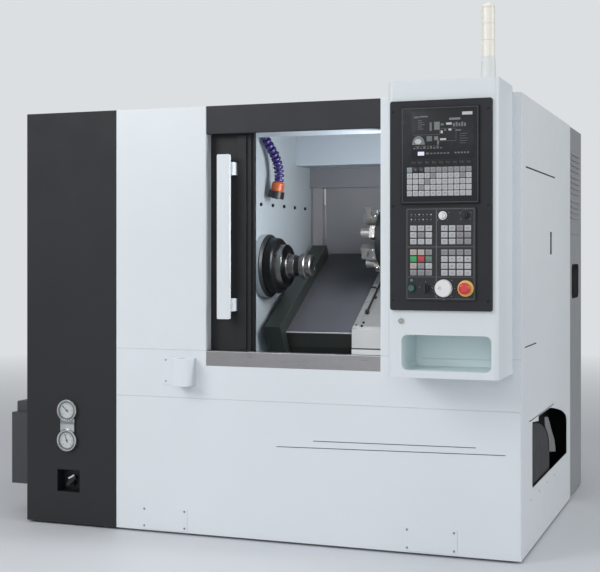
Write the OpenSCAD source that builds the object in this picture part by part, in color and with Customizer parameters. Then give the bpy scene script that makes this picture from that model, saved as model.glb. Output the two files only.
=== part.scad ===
// Slant-bed turning lathe with a full sheet-metal enclosure.
// X runs from the drive end on the left to the control end on the right,
// Y from the front panels to the electrical cabinet, Z up from the floor.
// Inside the modules x is counted from the enclosure's left face, y from the
// front skin and z from the floor; on_floor() moves that to the part's origin,
// the middle of the footprint.

/* [Enclosure] */
// Width of the enclosure, without the service box
machine_w = 2065; // [2040:5:2300]
// Height of the enclosure
machine_h = 1700; // [1690:5:1800]
// Depth of the enclosure, without the electrical cabinet
body_d = 1247; // [1240:5:1400]
// Thickness of the sheet metal
sheet = 3; // [2:0.5:3]
// Gap between the sheet metal and the floor
floor_gap = 8; // [6:1:20]
// Depth of the folded edge behind a front panel
lip = 25; // [20:1:40]
// Half the width of the groove between two panels
reveal = 1.5; // [1:0.5:3]
// Width of the dark drive-end cover
column_w = 422; // [410:2:440]
// Height of the lower skirt's top edge
skirt_top = 545; // [520:5:560]
// Height of the seam above the apron
apron_top = 735; // [732:1:740]

/* [Work opening] */
// Left edge of the work opening
opening_x = 822; // [800:1:840]
// Width of the work opening
opening_w = 716; // [680:2:730]
// Height of the header above the opening
header_h = 110; // [100:1:120]
// Height of the steel sill's front face
sill_h = 58; // [50:1:60]
// Depth of the gutter behind the sill
gutter_d = 127; // [120:1:140]

/* [Door] */
// Width of the sliding door
door_w = 740; // [730:2:760]
// Distance from the front skin to the door's face
door_y = 50; // [48:1:60]
// Thickness of the door
door_t = 36; // [30:1:40]
// Travel of the sliding door
door_travel = 545; // [500:5:550]
// Height of the door handle
handle_h = 645; // [500:5:700]
// Width of the door handle
handle_w = 53; // [30:1:60]

/* [Control box] */
// Width of the control box
box_w = 393; // [388:1:400]
// Depth of the control box
box_d = 261; // [240:1:280]
// Height of the control box
box_h = 1038; // [1032:2:1060]
// Height of the control box's underside
box_z = 684; // [670:2:690]
// Distance from the enclosure's right side to the control box
box_inset = 31; // [20:1:40]
// Radius of the control box's front edges
box_r = 20; // [5:1:30]
// Depth of the tray pocket under the controls
pocket_d = 200; // [100:5:230]

/* [Spindle] */
// Depth of the spindle axis behind the front skin
spindle_y = 474; // [468:2:480]
// Height of the spindle axis
spindle_z = 1067; // [1062:1:1072]
// Diameter of the bore through the spindle
bar_bore = 46; // [30:1:50]
// Diameter of the spindle in its bearings
shaft_d = 110; // [100:1:120]
// Diameter of the flange on the headstock's nose
flange_d = 268; // [255:1:280]
// Diameter of the collet nose
nose_d = 94; // [80:1:110]

/* [Slant bed] */
// Angle of the bed to the floor
slant = 30; // [29:0.5:31]
// Distance from the spindle axis down to the way cover
cover_drop = 235; // [235:1:238]
// Distance from the spindle axis down to the guide plane
bed_drop = 310; // [310:1:314]
// Distance between the two guide rails
rail_span = 440; // [420:5:450]
// Diameter of the ball screw
screw_d = 32; // [25:1:32]

/* [Turret] */
// Distance of the turret's axis up the slope from the spindle axis
turret_u = 224; // [220:1:230]
// Diameter of the turret disc
turret_d = 260; // [250:2:270]
// Thickness of the turret disc
turret_t = 89; // [70:1:92]
// Number of tool stations
stations = 8; // [6:1:8]
// Diameter of a boring-bar socket
tool_bore = 20; // [12:1:22]

/* [Cabinet] */
// Width of the electrical cabinet
cabinet_w = 1494; // [1400:5:1500]
// Depth of the electrical cabinet
cabinet_d = 413; // [380:5:440]
// Thickness of the cabinet door
cabinet_door_t = 20; // [15:1:25]
// Height of a louvre
louvre_h = 14; // [10:1:16]

/* [Fits] */
// Gap between faces that slide or turn past each other
slide_gap = 0.3; // [0.3:0.05:0.5]
// Radial clearance of a shaft in its bore
bore_gap = 0.05; // [0.02:0.01:0.08]

/* [Hidden] */
$fn = 48;

charcoal = "#3a3b3e";
panel_white = "#d3dae0";
stainless = "#a4a3a2";
cast_grey = "#6d7275";
liner_grey = "#a3b1ba";
cover_grey = "#54565e";
steel = "#b8babc";
near_black = "#222425";

// Enclosure
machine_top = machine_h - sheet;
side_x = machine_w - sheet;
opening_x1 = opening_x + opening_w;
opening_top = machine_h - header_h;
sill_top = apron_top - 1;
sill_z = sill_top - sill_h;

// Feet and casting
foot_d = 110;
foot_h = 12;
foot_stud_d = 24;
casting_z = 40;
casting_foot_top = 220;
casting_x0 = 60;
casting_x1 = machine_w - 75;
casting_front_y = 160;
casting_back_y = body_d - 40;
bay_x = machine_w - 565;
bay_z0 = 110;
bay_z1 = 540;

// Slanted stack: u is counted up the slope and v square to it, both from the spindle axis
bed_v = -bed_drop;
bed_u0 = -90;
bed_u1 = (casting_back_y - spindle_y + bed_v * sin(slant)) / cos(slant);
rail_w = 34;
rail_h = 29;
carriage_h = 48;
saddle_v0 = bed_v + carriage_h;
cover_v1 = -cover_drop;
cover_v0 = cover_v1 - sheet;
cover_u0 = -155;
cover_u1 = 512;
overhang_v0 = cover_v1 + 4;
overhang_v1 = overhang_v0 + sheet;
overhang_u0 = cover_u0 - 20;
way_v1 = overhang_v0 + 40;
slide_v0 = overhang_v1 + 2;
slide_v1 = way_v1 + 40;
shield_u0 = -202;
shield_u1 = 490;
shield_v1 = -178;
shield_fold = 6;
channel_u0 = rail_span / 2 - 60;
channel_u1 = rail_span / 2 + 60;
channel_deep = 40;

// Machine stations along the spindle axis
wall_x = 875;
wall_x1 = machine_w - 90;
headstock_x0 = 430;
headstock_x1 = wall_x - sheet;
flange_x1 = wall_x + 41;
chuck_x0 = flange_x1 + 40;
nose_x = chuck_x0 + 144;
shield_x0 = 915;
shield_x1 = 985;
cover_x1 = 1400;
overhang_x0 = 1290;
hood_x1 = 1575;
hood_rise = 31;
saddle_x0 = 1600;
saddle_x1 = 1860;
saddle_u0 = -60;
saddle_u1 = 540;
way_x0 = 1635;
way_x1 = 1825;
way_u0 = -40;
way_u1 = 520;
dovetail = 20;
slide_x0 = 1590;
slide_x1 = 1870;
slide_half_u = 190;
turret_x1 = 1439;
turret_x0 = turret_x1 - slide_gap - turret_t;
turret_case_x1 = 1700;
turret_case_half = 125;
turret_shaft_d = 80;
turret_shaft_l = 60;
screw_v = bed_v + 24;
screw_u = rail_span / 2;
screw_journal_d = 24;
screw_block_x0 = 885;
screw_block_x1 = 912;
screw_end_x0 = 1930;
screw_end_x1 = 1960;

// Chamber
wall_front_y = gutter_d + sheet;
wall_back_y = 1090;
wall_top_z = machine_top;
wall_low_z = 700;
wall_v = bed_v + 10;
hood_y = 874;
hood_z = machine_h - 178;
hood_band_y = 1060;
hood_band_z = machine_h - 270;
ceiling_y0 = 100;
ceiling_y1 = 300;
ceiling_z = opening_top + 10;
chute_z1 = 600;

// Drive
belt_x0 = 335;
belt_w = 60;
belt_t = 8;
motor_y = 620;
motor_z = 420;
motor_d = 250;
motor_x0 = 60;
motor_x1 = 318;
motor_shaft_d = 42;
spindle_pulley_d = 230;
motor_pulley_d = 160;
bearing_d = 170;
bearing_w = 40;
cylinder_d = 170;
cylinder_x0 = 90;
spindle_x0 = 70;
bar_hole_d = bar_bore + 44;

// Door
door_x0 = 263;
door_x1 = door_x0 + door_w;
door_z0 = 712;
door_z1 = opening_top + 18;
door_y1 = door_y + door_t;
window_x0 = door_x0 + 90;
window_x1 = door_x1 - 215;
window_z0 = door_z0 + 138;
window_z1 = door_z1 - 128;
glass_t = 6;
stile_x0 = door_x1 - 65;
stile_w = 37;
rubber_w = 10;
handle_x = opening_x + 53;
handle_z = 862;
handle_t = 15;
standoff_h = 50;
hanger_at = [140, 640];
roller_d = 30;
track_x0 = door_x0 + 60;
track_x1 = 1525;
track_z0 = door_z1 + 10;
track_h = 42;
track_y0 = 48;
track_y1 = 96;
track_slot = 14;

// Control box and what it carries
box_x1 = machine_w - box_inset;
box_x0 = box_x1 - box_w;
box_z1 = box_z + box_h;
pocket_x0 = box_x0 + 51;
pocket_x1 = box_x1 - 24;
pocket_z0 = box_z + 26;
pocket_z1 = pocket_z0 + 124;
pocket_r = 22;
plate_t = 12;
plate_x0 = box_x0 + 13;
plate_x1 = box_x1 - 19;
plate_z0 = box_z + 236;
plate_z1 = plate_z0 + 730;
plate_y = -box_d - plate_t;
unit_t = 8;
unit_x0 = plate_x0 + 40;
unit_x1 = unit_x0 + 272;
unit_z0 = plate_z0 + 368;
unit_z1 = unit_z0 + 340;
unit_y = plate_y - unit_t;
screen_x0 = unit_x0 + 36;
screen_x1 = screen_x0 + 216;
screen_z0 = unit_z0 + 182;
screen_z1 = screen_z0 + 152;
screen_deep = 4;
key_field_x0 = unit_x0 + 18;
key_field_x1 = key_field_x0 + 236;
key_field_z0 = unit_z0 + 24;
key_field_z1 = key_field_z0 + 110;
key_columns = 11;
key_rows = 5;
key_share = 0.84;
key_t = 2.5;
op_t = 6;
op_x0 = unit_x0 + 18;
op_x1 = op_x0 + 248;
op_z0 = plate_z0 + 36;
op_z1 = op_z0 + 322;
op_y = plate_y - op_t;
left_keys_x0 = op_x0 + 15;
left_keys_x1 = left_keys_x0 + 82;
right_keys_x0 = op_x0 + 125;
right_keys_x1 = right_keys_x0 + 109;
low_keys_z0 = op_z0 + 84;
low_keys_z1 = low_keys_z0 + 94;
high_keys_z0 = low_keys_z1 + 14;
high_keys_z1 = high_keys_z0 + 69;
control_row_z = op_z0 + 42;
wheel_x = op_x0 + 136;
wheel_d = 61;
wheel_t = 14;
estop_x = op_x0 + 213;
estop_d = 40;
estop_collar_d = 30;
estop_collar_t = 9;
estop_h = 30;
selector_x = op_x0 + 72;
selector_d = 32;
start_x = op_x0 + 22;
start_d = 22;
start_collar_d = 28;
feed_x = op_x0 + 133;
spindle_knob_x = op_x0 + 212;
knob_z = high_keys_z1 + 32;
feed_d = 30;
spindle_knob_d = 25;
stem_d = 8;
stem_in = 5;
key_x = box_x0 + 50;
key_z = box_z + 198;
key_d = 20;

// Signal tower
tower_x = box_x1 - 61;
tower_y = -130;
tower_d = 54;
tower_base_h = 90;
lens_d = 46;
lens_h = 188;
tower_top = box_z1 + tower_base_h + lens_h;

// Gauges and main switch on the drive-end cover
gauge_x = 199;
gauge_z_low = 351;
gauge_z_high = 474;
gauge_d = 74;
gauge_t = 16;
gauge_deep = 5;
switch_x0 = 146;
switch_x1 = 254;
switch_z0 = 136;
switch_z1 = 230;
switch_deep = 60;
lever_x = 190;
lever_z = 168;

// Service box, holster
service_w = 170;
service_y0 = 150;
service_y1 = 550;
service_z0 = 126;
service_z1 = 432;
holster_x0 = 703;
holster_x1 = 776;
holster_out = 73;
holster_z0 = 598;
holster_z1 = 706;
holster_bore = 46;
holster_flange_x = 630;

// Coolant hose
hose_d = 42;
hose_links = 15;
hose_top = [897, 420, machine_top - sheet];
hose_bend_at = 0.5;
hose_end = [935, 500, machine_h - 274];
nozzle_tilt = 12;
hose_gap = 2.2;
hose_neck_r = 15;

// Cabinet
louvre_out = 6;
cabinet_x1 = machine_w - louvre_out;
cabinet_x0 = cabinet_x1 - cabinet_w;
cabinet_y0 = body_d;
cabinet_y1 = body_d + cabinet_d;
cabinet_door_y0 = cabinet_y1 + 0.5;
cabinet_door_y1 = cabinet_door_y0 + cabinet_door_t;
cabinet_seam_z = machine_h - 495;
cabinet_frame = 40;
vent_y0 = cabinet_y0 + 93;
vent_y1 = vent_y0 + 240;
vent_z0 = machine_h - 789;
vent_z1 = vent_z0 + 159;
louvre_y0 = cabinet_y0 + 57;
louvre_l = 277;
louvre_pitch = 25;
louvre_groups = [machine_h - 418, machine_h - 305, machine_h - 200];
louvres_each = 4;
hinge_in = 11;
hinge_y = cabinet_door_y0 + cabinet_door_t / 2;
hinge_r = 8;
hinge_pin_d = 8;
hinge_h = 40;
hinge_at = [280, machine_h - 320];
latch_in = 70;
latch_z = 900;
latch_out = 18;

// Footprint and origin
low_x = -service_w;
low_y = op_y - estop_h;
high_y = cabinet_door_y1 + latch_out;
mid_x = (low_x + machine_w) / 2;
mid_y = (low_y + high_y) / 2;

// A point of the cross-section: u up the slope, v square to it
function slope(u, v) = [
  spindle_y + u * cos(slant) - v * sin(slant),
  spindle_z + u * sin(slant) + v * cos(slant)
];

module on_floor() {
  translate([-mid_x, -mid_y, 0]) children();
}

// The frame of the slanted bed, with its origin on the spindle axis
module on_slope() {
  translate([0, spindle_y, spindle_z]) rotate([slant, 0, 0]) children();
}

// A block between two opposite corners
module block(a, b) {
  translate(a) cube(b - a);
}

// A cross-section drawn in Y and Z, drawn out along X
module along_x(x0, x1) {
  translate([x0, 0, 0]) rotate([90, 0, 90]) linear_extrude(x1 - x0) children();
}

module rounded_rect(w, h, r) {
  translate([r, 0]) square([w - 2 * r, h]);
  translate([0, r]) square([w, h - 2 * r]);
  for (x = [r, w - r], y = [r, h - r]) translate([x, y]) circle(r);
}

// A round-cornered slab that faces the front
module slab(x0, x1, z0, z1, y0, y1, r) {
  translate([x0, y1, z0]) rotate([90, 0, 0]) linear_extrude(y1 - y0)
    rounded_rect(x1 - x0, z1 - z0, r);
}

module rod_x(x0, x1, y, z, d) {
  translate([x0, y, z]) rotate([0, 90, 0]) cylinder(d = d, h = x1 - x0);
}

module rod_y(x, y0, y1, z, d) {
  translate([x, y0, z]) rotate([-90, 0, 0]) cylinder(d = d, h = y1 - y0);
}

// A turned shape on an axis along X: the points are [station, radius]
module turned_x(y, z, points) {
  translate([0, y, z]) rotate([0, 90, 0]) rotate_extrude($fn = 96)
    polygon([for (p = points) [p[1], p[0]]]);
}

// A folded front panel: a plate with a groove's edge and a lip behind it
module tray(x0, x1, z0, z1, deep = lip) {
  block([x0 + reveal, 0, z0 + reveal], [x1 - reveal, sheet, z1 - reveal]);
  difference() {
    block([x0, sheet / 2, z0], [x1, deep, z1]);
    block([x0 + sheet, 0, z0 + sheet], [x1 - sheet, deep + 1, z1 - sheet]);
  }
}

// Frame and bed

module base_casting() {
  outline = [
    slope(bed_u0, bed_v),
    slope(bed_u1, bed_v),
    [slope(bed_u1, bed_v)[0], casting_z],
    [casting_front_y, casting_z],
    [casting_front_y, casting_foot_top],
    [slope(bed_u0, bed_v)[0], casting_foot_top]
  ];
  color(cast_grey) on_floor() {
    difference() {
      along_x(casting_x0, casting_x1) polygon(outline);
      on_slope() block([casting_x0 - 1, channel_u0, bed_v - channel_deep],
        [casting_x1 + 1, channel_u1, bed_v + 1]);
      block([bay_x, casting_front_y - 1, bay_z0], [casting_x1 + 1, body_d, bay_z1]);
      block([casting_x0 - 1, casting_front_y - 1, casting_foot_top],
        [headstock_x0 - 15, body_d, machine_h]);
    }
    for (x = [[screw_block_x0, screw_block_x1], [screw_end_x0, screw_end_x1]])
      screw_support(x[0], x[1]);
  }
}

module screw_support(x0, x1) {
  on_slope() difference() {
    block([x0, screw_u - 45, bed_v - channel_deep], [x1, screw_u + 45, saddle_v0 - 4]);
    rod_x(x0 - 1, x1 + 1, screw_u, screw_v, screw_journal_d + 2 * bore_gap);
  }
}

module levelling_feet() {
  color(near_black) on_floor()
    for (x = [casting_x0 + 70, machine_w / 2, casting_x1 - 70],
         y = [casting_front_y + 70, casting_back_y - 70])
      translate([x, y, 0]) {
        cylinder(d = foot_d, h = foot_h);
        cylinder(d = foot_stud_d * 1.6, h = foot_h + 10);
        cylinder(d = foot_stud_d, h = casting_z);
      }
}

module guide_rails() {
  color(steel) on_floor() on_slope()
    for (u = [0, rail_span]) translate([0, u, bed_v]) along_x(shield_x1 + 5, wall_x1 - 3)
      rail_section();
}

// A profile rail: straight sides with a ball groove on each
module rail_section() {
  groove = 3;
  difference() {
    translate([-rail_w / 2, 0]) square([rail_w, rail_h]);
    for (side = [-1, 1]) translate([side * rail_w / 2, rail_h * 0.6])
      rotate(45) square(groove * 2, center = true);
  }
}

// Headstock and drive

module headstock() {
  half = 150;
  foot = 190;
  color(cast_grey) on_floor() difference() {
    union() {
      on_slope() along_x(headstock_x0, headstock_x1) polygon([
        [-half, -half], [-half, half * 0.6], [-half * 0.6, half], [half * 0.6, half],
        [half, half * 0.6], [half, -half], [foot + 40, -foot], [foot + 40, bed_v],
        [bed_u0 + 10, bed_v], [bed_u0 + 10, -foot]]);
      turned_x(spindle_y, spindle_z, [
        [headstock_x1 - 1, 0], [headstock_x1 - 1, flange_d / 2 - 16], [wall_x, flange_d / 2 - 16],
        [wall_x, flange_d / 2], [flange_x1 - 8, flange_d / 2],
        [flange_x1, flange_d / 2 - 10], [flange_x1, 0]]);
    }
    rod_x(headstock_x0 - 1, headstock_x1 - 20, spindle_y, spindle_z, bearing_d);
    rod_x(headstock_x1 - 21, flange_x1 + 1, spindle_y, spindle_z, shaft_d + 20);
  }
}

module spindle_bearings() {
  color(steel) on_floor()
    for (x = [headstock_x0 + 20, headstock_x0 + 65, headstock_x1 - 115, headstock_x1 - 70])
      difference() {
        rod_x(x, x + bearing_w, spindle_y, spindle_z, bearing_d);
        rod_x(x - 1, x + bearing_w + 1, spindle_y, spindle_z, shaft_d + 2 * bore_gap);
        for (end = [x - 1, x + bearing_w - 5]) difference() {
          rod_x(end, end + 6, spindle_y, spindle_z, bearing_d - 16);
          rod_x(end - 1, end + 7, spindle_y, spindle_z, shaft_d + 16);
        }
      }
}

module spindle_motor() {
  fins = 12;
  color(near_black) on_floor() {
    difference() {
      union() {
        rod_x(motor_x0 + 30, motor_x1 - 20, motor_y, motor_z, motor_d);
        rod_x(motor_x1 - 20, motor_x1, motor_y, motor_z, motor_d + 16);
        rod_x(motor_x0, motor_x0 + 30, motor_y, motor_z, motor_d - 10);
        block([motor_x0 + 60, motor_y - 110, casting_foot_top],
          [motor_x1 - 40, motor_y + 110, motor_z - motor_d / 2 + 30]);
        block([motor_x0 + 90, motor_y - 60, motor_z + motor_d / 2 - 15],
          [motor_x0 + 190, motor_y + 60, motor_z + motor_d / 2 + 35]);
      }
      for (i = [0 : fins - 1]) translate([0, motor_y, motor_z]) rotate([i * 360 / fins, 0, 0])
        block([motor_x0 + 40, -3, motor_d / 2 - 8], [motor_x1 - 30, 3, motor_d]);
      rod_x(motor_x0 - 1, motor_x1 + 1, motor_y, motor_z, motor_shaft_d + 2 * bore_gap);
    }
  }
}

module pulley(x0, y, z, d) {
  rim = 5;
  rod_x(x0 - rim, x0, y, z, d + 20);
  rod_x(x0, x0 + belt_w + 2, y, z, d);
  rod_x(x0 + belt_w + 2, x0 + belt_w + 2 + rim, y, z, d + 20);
}

module motor_pulley() {
  color(steel) on_floor() {
    pulley(belt_x0, motor_y, motor_z, motor_pulley_d);
    rod_x(motor_x0 + 10, belt_x0, motor_y, motor_z, motor_shaft_d);
  }
}

// A flat belt round two pulleys: two arcs joined by the common tangents
module belt_outline(extra) {
  steps = 40;
  r_low = motor_pulley_d / 2 + extra;
  r_high = spindle_pulley_d / 2 + extra;
  across = [spindle_y - motor_y, spindle_z - motor_z];
  tilt = atan2(across[1], across[0]);
  lean = acos((r_low - r_high) / norm(across));
  polygon(concat(
    [for (i = [0 : steps]) let (a = tilt + lean + i * (360 - 2 * lean) / steps)
      [motor_y + r_low * cos(a), motor_z + r_low * sin(a)]],
    [for (i = [0 : steps]) let (a = tilt - lean + i * 2 * lean / steps)
      [spindle_y + r_high * cos(a), spindle_z + r_high * sin(a)]]));
}

module drive_belt() {
  color(near_black) on_floor() along_x(belt_x0 + 1, belt_x0 + 1 + belt_w) difference() {
    belt_outline(2 * slide_gap + belt_t);
    belt_outline(2 * slide_gap);
  }
}

module spindle() {
  r = shaft_d / 2;
  bore = bar_bore / 2;
  rear = belt_x0 + belt_w + 7;
  color(charcoal) on_floor() {
    turned_x(spindle_y, spindle_z, [
      [spindle_x0, bore], [spindle_x0, cylinder_d / 2 - 40], [cylinder_x0, cylinder_d / 2 - 40],
      [cylinder_x0, cylinder_d / 2 - 4], [cylinder_x0 + 4, cylinder_d / 2],
      [cylinder_x0 + 130, cylinder_d / 2], [cylinder_x0 + 150, r - 10],
      [belt_x0 - 5, r - 10], [belt_x0 - 5, spindle_pulley_d / 2 + 10],
      [belt_x0, spindle_pulley_d / 2 + 10], [belt_x0, spindle_pulley_d / 2],
      [belt_x0 + belt_w + 2, spindle_pulley_d / 2],
      [belt_x0 + belt_w + 2, spindle_pulley_d / 2 + 10],
      [rear, spindle_pulley_d / 2 + 10], [rear, r],
      [flange_x1 + slide_gap * 3, r], [flange_x1 + slide_gap * 3, flange_d / 2 - 16],
      [chuck_x0 - 6, flange_d / 2 - 16], [chuck_x0, flange_d / 2 - 22], [chuck_x0, bore]]);
  }
}

module collet_chuck() {
  r = nose_d / 2;
  bore = bar_bore / 2;
  color(steel) on_floor() turned_x(spindle_y, spindle_z, [
    [chuck_x0, bore], [chuck_x0, 91], [chuck_x0 + 30, 91], [chuck_x0 + 34, 87],
    [chuck_x0 + 36, 60], [chuck_x0 + 40, r], [chuck_x0 + 70, r], [chuck_x0 + 72, r - 4],
    [nose_x - 50, r - 4], [nose_x - 47, r + 7], [nose_x - 27, r + 7], [nose_x - 24, r + 4],
    [nose_x - 23, r - 5], [nose_x - 21, r - 5], [nose_x - 20, r - 2],
    [nose_x - 3, r - 2], [nose_x, r - 5], [nose_x, bore]]);
}

// Enclosure

// Drive-end cover: front, top and left walls folded round the headstock end, with a round
// hole for long bars in line with the spindle
module end_column() {
  color(charcoal) on_floor() difference() {
    translate([0, 0, floor_gap]) linear_extrude(machine_h - floor_gap)
      rounded_rect(column_w + 20, body_d, 6);
    translate([sheet, sheet, floor_gap - 1]) cube([column_w + 20, body_d - 2 * sheet,
      machine_h - floor_gap - sheet + 1]);
    block([column_w, -1, 0], [column_w + 30, body_d + 1, machine_h + 1]);
    block([switch_x0, -1, switch_z0], [switch_x1, sheet + 1, switch_z1]);
    rod_x(-1, sheet + 1, spindle_y, spindle_z, bar_hole_d);
  }
}

module front_panel() {
  color(panel_white) on_floor() {
    difference() {
      union() {
        tray(column_w, opening_x, apron_top, machine_h);
        tray(opening_x1, machine_w, apron_top, machine_h);
        tray(column_w, machine_w, skirt_top, apron_top);
      }
      block([opening_x, -1, sill_z], [opening_x1, lip + 1, apron_top + 1]);
    }
    block([opening_x - sheet, sheet / 2, apron_top], [opening_x, track_y0, machine_top]);
    block([opening_x - 1, sheet / 2, sill_z - sheet], [opening_x1 + 1, lip, sill_z]);
  }
}

module header_panel() {
  color(charcoal) on_floor() tray(opening_x, opening_x1, opening_top, machine_h);
}

// Lower front sheet with two bolted fork-pocket covers standing slightly proud
module skirt_panel() {
  pocket_cover_w = 202;
  pocket_cover_h = 91;
  color(panel_white) on_floor() {
    tray(column_w, machine_w, floor_gap, skirt_top);
    for (x = [538, machine_w - 436])
      difference() {
        slab(x, x + pocket_cover_w, 14, 14 + pocket_cover_h, -1.5, sheet, 6);
        for (dx = [12, pocket_cover_w - 12], dz = [12, pocket_cover_h - 12])
          rod_y(x + dx, -2, -0.5, 14 + dz, 9);
      }
  }
}

module side_opening(grow) {
  low_r = 12;
  high_r = 130;
  y0 = 240 - grow;
  y1 = body_d - 91 + grow;
  z0 = 230 - grow;
  z1 = 500 + grow;
  translate([y0 + low_r, z0]) square([y1 - y0 - 2 * low_r, z1 - z0 - high_r]);
  translate([y0, z0 + low_r]) square([y1 - y0, z1 - z0 - high_r - low_r]);
  translate([y0 + high_r, z0]) square([y1 - y0 - 2 * high_r, z1 - z0]);
  for (y = [y0 + low_r, y1 - low_r]) translate([y, z0 + low_r]) circle(low_r);
  for (y = [y0 + high_r, y1 - high_r]) translate([y, z1 - high_r]) circle(high_r, $fn = 96);
}

module right_side_panel() {
  latch_y = 670;
  latch_z0 = 1115;
  cup = 14;
  color(panel_white) on_floor() {
    difference() {
      block([side_x, lip, floor_gap], [machine_w, body_d, machine_h]);
      along_x(side_x - 1, machine_w + 1) side_opening(0);
      block([machine_w - sheet / 2, 98, machine_h - 266], [machine_w + 1, 799, machine_h - 260]);
      block([machine_w - sheet / 2, 80, apron_top + 37], [machine_w + 1, 333, apron_top + 42]);
      block([side_x - 1, latch_y, latch_z0], [machine_w + 1, latch_y + 50, latch_z0 + 93]);
    }
    difference() {
      block([side_x - cup, latch_y - 2, latch_z0 - 2], [side_x + 1, latch_y + 52, latch_z0 + 95]);
      block([side_x - cup + 2, latch_y, latch_z0], [side_x + 2, latch_y + 50, latch_z0 + 93]);
    }
    // Flange folded inward round the side opening
    difference() {
      along_x(side_x - 30, side_x) side_opening(sheet);
      along_x(side_x - 31, side_x + 1) side_opening(0);
    }
  }
}

module rear_roof_cover() {
  color(panel_white) on_floor() {
    block([column_w, lip, machine_top], [side_x, body_d, machine_h]);
    block([column_w, body_d - sheet, floor_gap], [side_x, body_d, machine_top + 1]);
    for (y = [lip + 200, hood_y - 60]) block([column_w, y, machine_top - 20],
      [wall_x - 20, y + sheet, machine_top + 1]);
  }
}

// Stainless sill: front face, ledge and the gutter that the door runs over
module door_sill() {
  ledge_y = 46;
  gutter_z = door_z0 - 7;
  color(stainless) on_floor() along_x(opening_x, opening_x1) {
    translate([0, sill_z]) square([sheet, sill_h]);
    translate([0, sill_z]) square([lip, sheet]);
    translate([0, sill_top - sheet]) square([ledge_y, sheet]);
    translate([ledge_y - sheet, gutter_z]) square([sheet, sill_top - gutter_z]);
    translate([ledge_y - sheet, gutter_z]) square([gutter_d - ledge_y + sheet, sheet]);
    translate([gutter_d - sheet, gutter_z]) square([sheet, 20]);
  }
}

module door_track() {
  color(steel) on_floor() {
    difference() {
      block([track_x0, track_y0, track_z0], [track_x1, track_y1, track_z0 + track_h]);
      block([track_x0 - 1, track_y0 + sheet, track_z0 + sheet],
        [track_x1 + 1, track_y1 - sheet, track_z0 + track_h - sheet]);
      block([track_x0 - 1, (track_y0 + track_y1 - track_slot) / 2, track_z0 - 1],
        [track_x1 + 1, (track_y0 + track_y1 + track_slot) / 2, track_z0 + sheet + 1]);
    }
    for (x = [track_x0 + 130, track_x1 - 90])
      block([x, track_y0 + 8, track_z0 + track_h - 1], [x + 50, track_y1 - 8, machine_top]);
  }
}

// Side walls, back wall and chute of the work chamber, each a sheet of its own
module chamber_liner() {
  wall = [
    [wall_front_y, wall_low_z], [wall_front_y, wall_top_z], [wall_back_y, wall_top_z],
    slope((wall_back_y - spindle_y + wall_v * sin(slant)) / cos(slant), wall_v),
    slope(bed_u0 - 5, wall_v), [slope(bed_u0 - 5, wall_v)[0], wall_low_z]
  ];
  back_low_z = slope((wall_back_y - spindle_y + wall_v * sin(slant)) / cos(slant), wall_v)[1];
  bolt_z = 1329;
  bolt_y = [for (i = [0 : 4]) 439 + i * 137];
  color(liner_grey) on_floor() {
    difference() {
      for (x = [wall_x - sheet, wall_x1]) along_x(x, x + sheet) polygon(wall);
      rod_x(wall_x - sheet - 1, wall_x + 1, spindle_y, spindle_z, flange_d - 32);
    }
    for (y = bolt_y) rod_x(wall_x - 1, wall_x + 5, y, bolt_z, 13);
    block([wall_x + slide_gap, wall_back_y - 0.5, back_low_z], [wall_x1 - slide_gap,
      wall_back_y + sheet - 0.5, hood_band_z - slide_gap]);
    block([wall_x + 7, wall_back_y - 12, back_low_z + 24], [wall_x + 57, wall_back_y,
      hood_band_z - slide_gap]);
    along_x(wall_x + slide_gap, wall_x1 - slide_gap) chute_section();
  }
}

// The chute plate falls from the sill's gutter to the foot of the bed
module chute_section() {
  end_y = slope(bed_u0, bed_v)[0];
  top_z = door_z0;
  polygon([[gutter_d, top_z], [gutter_d, top_z - sheet], [end_y, chute_z1 - sheet],
    [end_y, chute_z1]]);
}

// Folded ceiling of the chamber: a strip for each fold of the sheet
module chamber_hood() {
  folds = [
    [ceiling_y0, ceiling_z, ceiling_y1 + sheet, ceiling_z + sheet],
    [ceiling_y1, ceiling_z, ceiling_y1 + sheet, machine_top],
    [ceiling_y1, machine_top - sheet, hood_y + sheet, machine_top],
    [hood_y, hood_z, hood_y + sheet, machine_top],
    [hood_y, hood_z, hood_band_y + sheet, hood_z + sheet],
    [hood_band_y, hood_band_z, hood_band_y + sheet, hood_z + sheet],
    [hood_band_y, hood_band_z, wall_back_y + sheet, hood_band_z + sheet]
  ];
  color(liner_grey) on_floor() along_x(wall_x, wall_x1)
    for (f = folds) translate([f[0], f[1]]) square([f[2] - f[0], f[3] - f[1]]);
}

// Coolant and chip tank standing in the bay under the bed
module coolant_tank() {
  x0 = bay_x + 20;
  x1 = side_x - 35;
  y0 = 275;
  y1 = 1090;
  z1 = 330;
  hood_r = 300;
  color(charcoal) on_floor() {
    difference() {
      block([x0, y0, bay_z0], [x1, y1, z1]);
      block([x0 + sheet, y0 + sheet, bay_z0 + sheet], [x1 - sheet, y1 - sheet, z1 + 1]);
    }
    block([x0, y1 - 330, z1 - 60], [x1, y1 - 330 + sheet, z1]);
    // Quarter-round splash hood over the rear half
    intersection() {
      difference() {
        rod_x(x0, x1 - 40, y1 - 20, z1 - 130, 2 * hood_r, $fn = 96);
        rod_x(x0 - 1, x1, y1 - 20, z1 - 130, 2 * hood_r - 2 * sheet, $fn = 96);
      }
      block([x0, y1 - 20 - hood_r, z1], [x1, y1, bay_z1]);
    }
  }
}

// Guards round the slides

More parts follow.
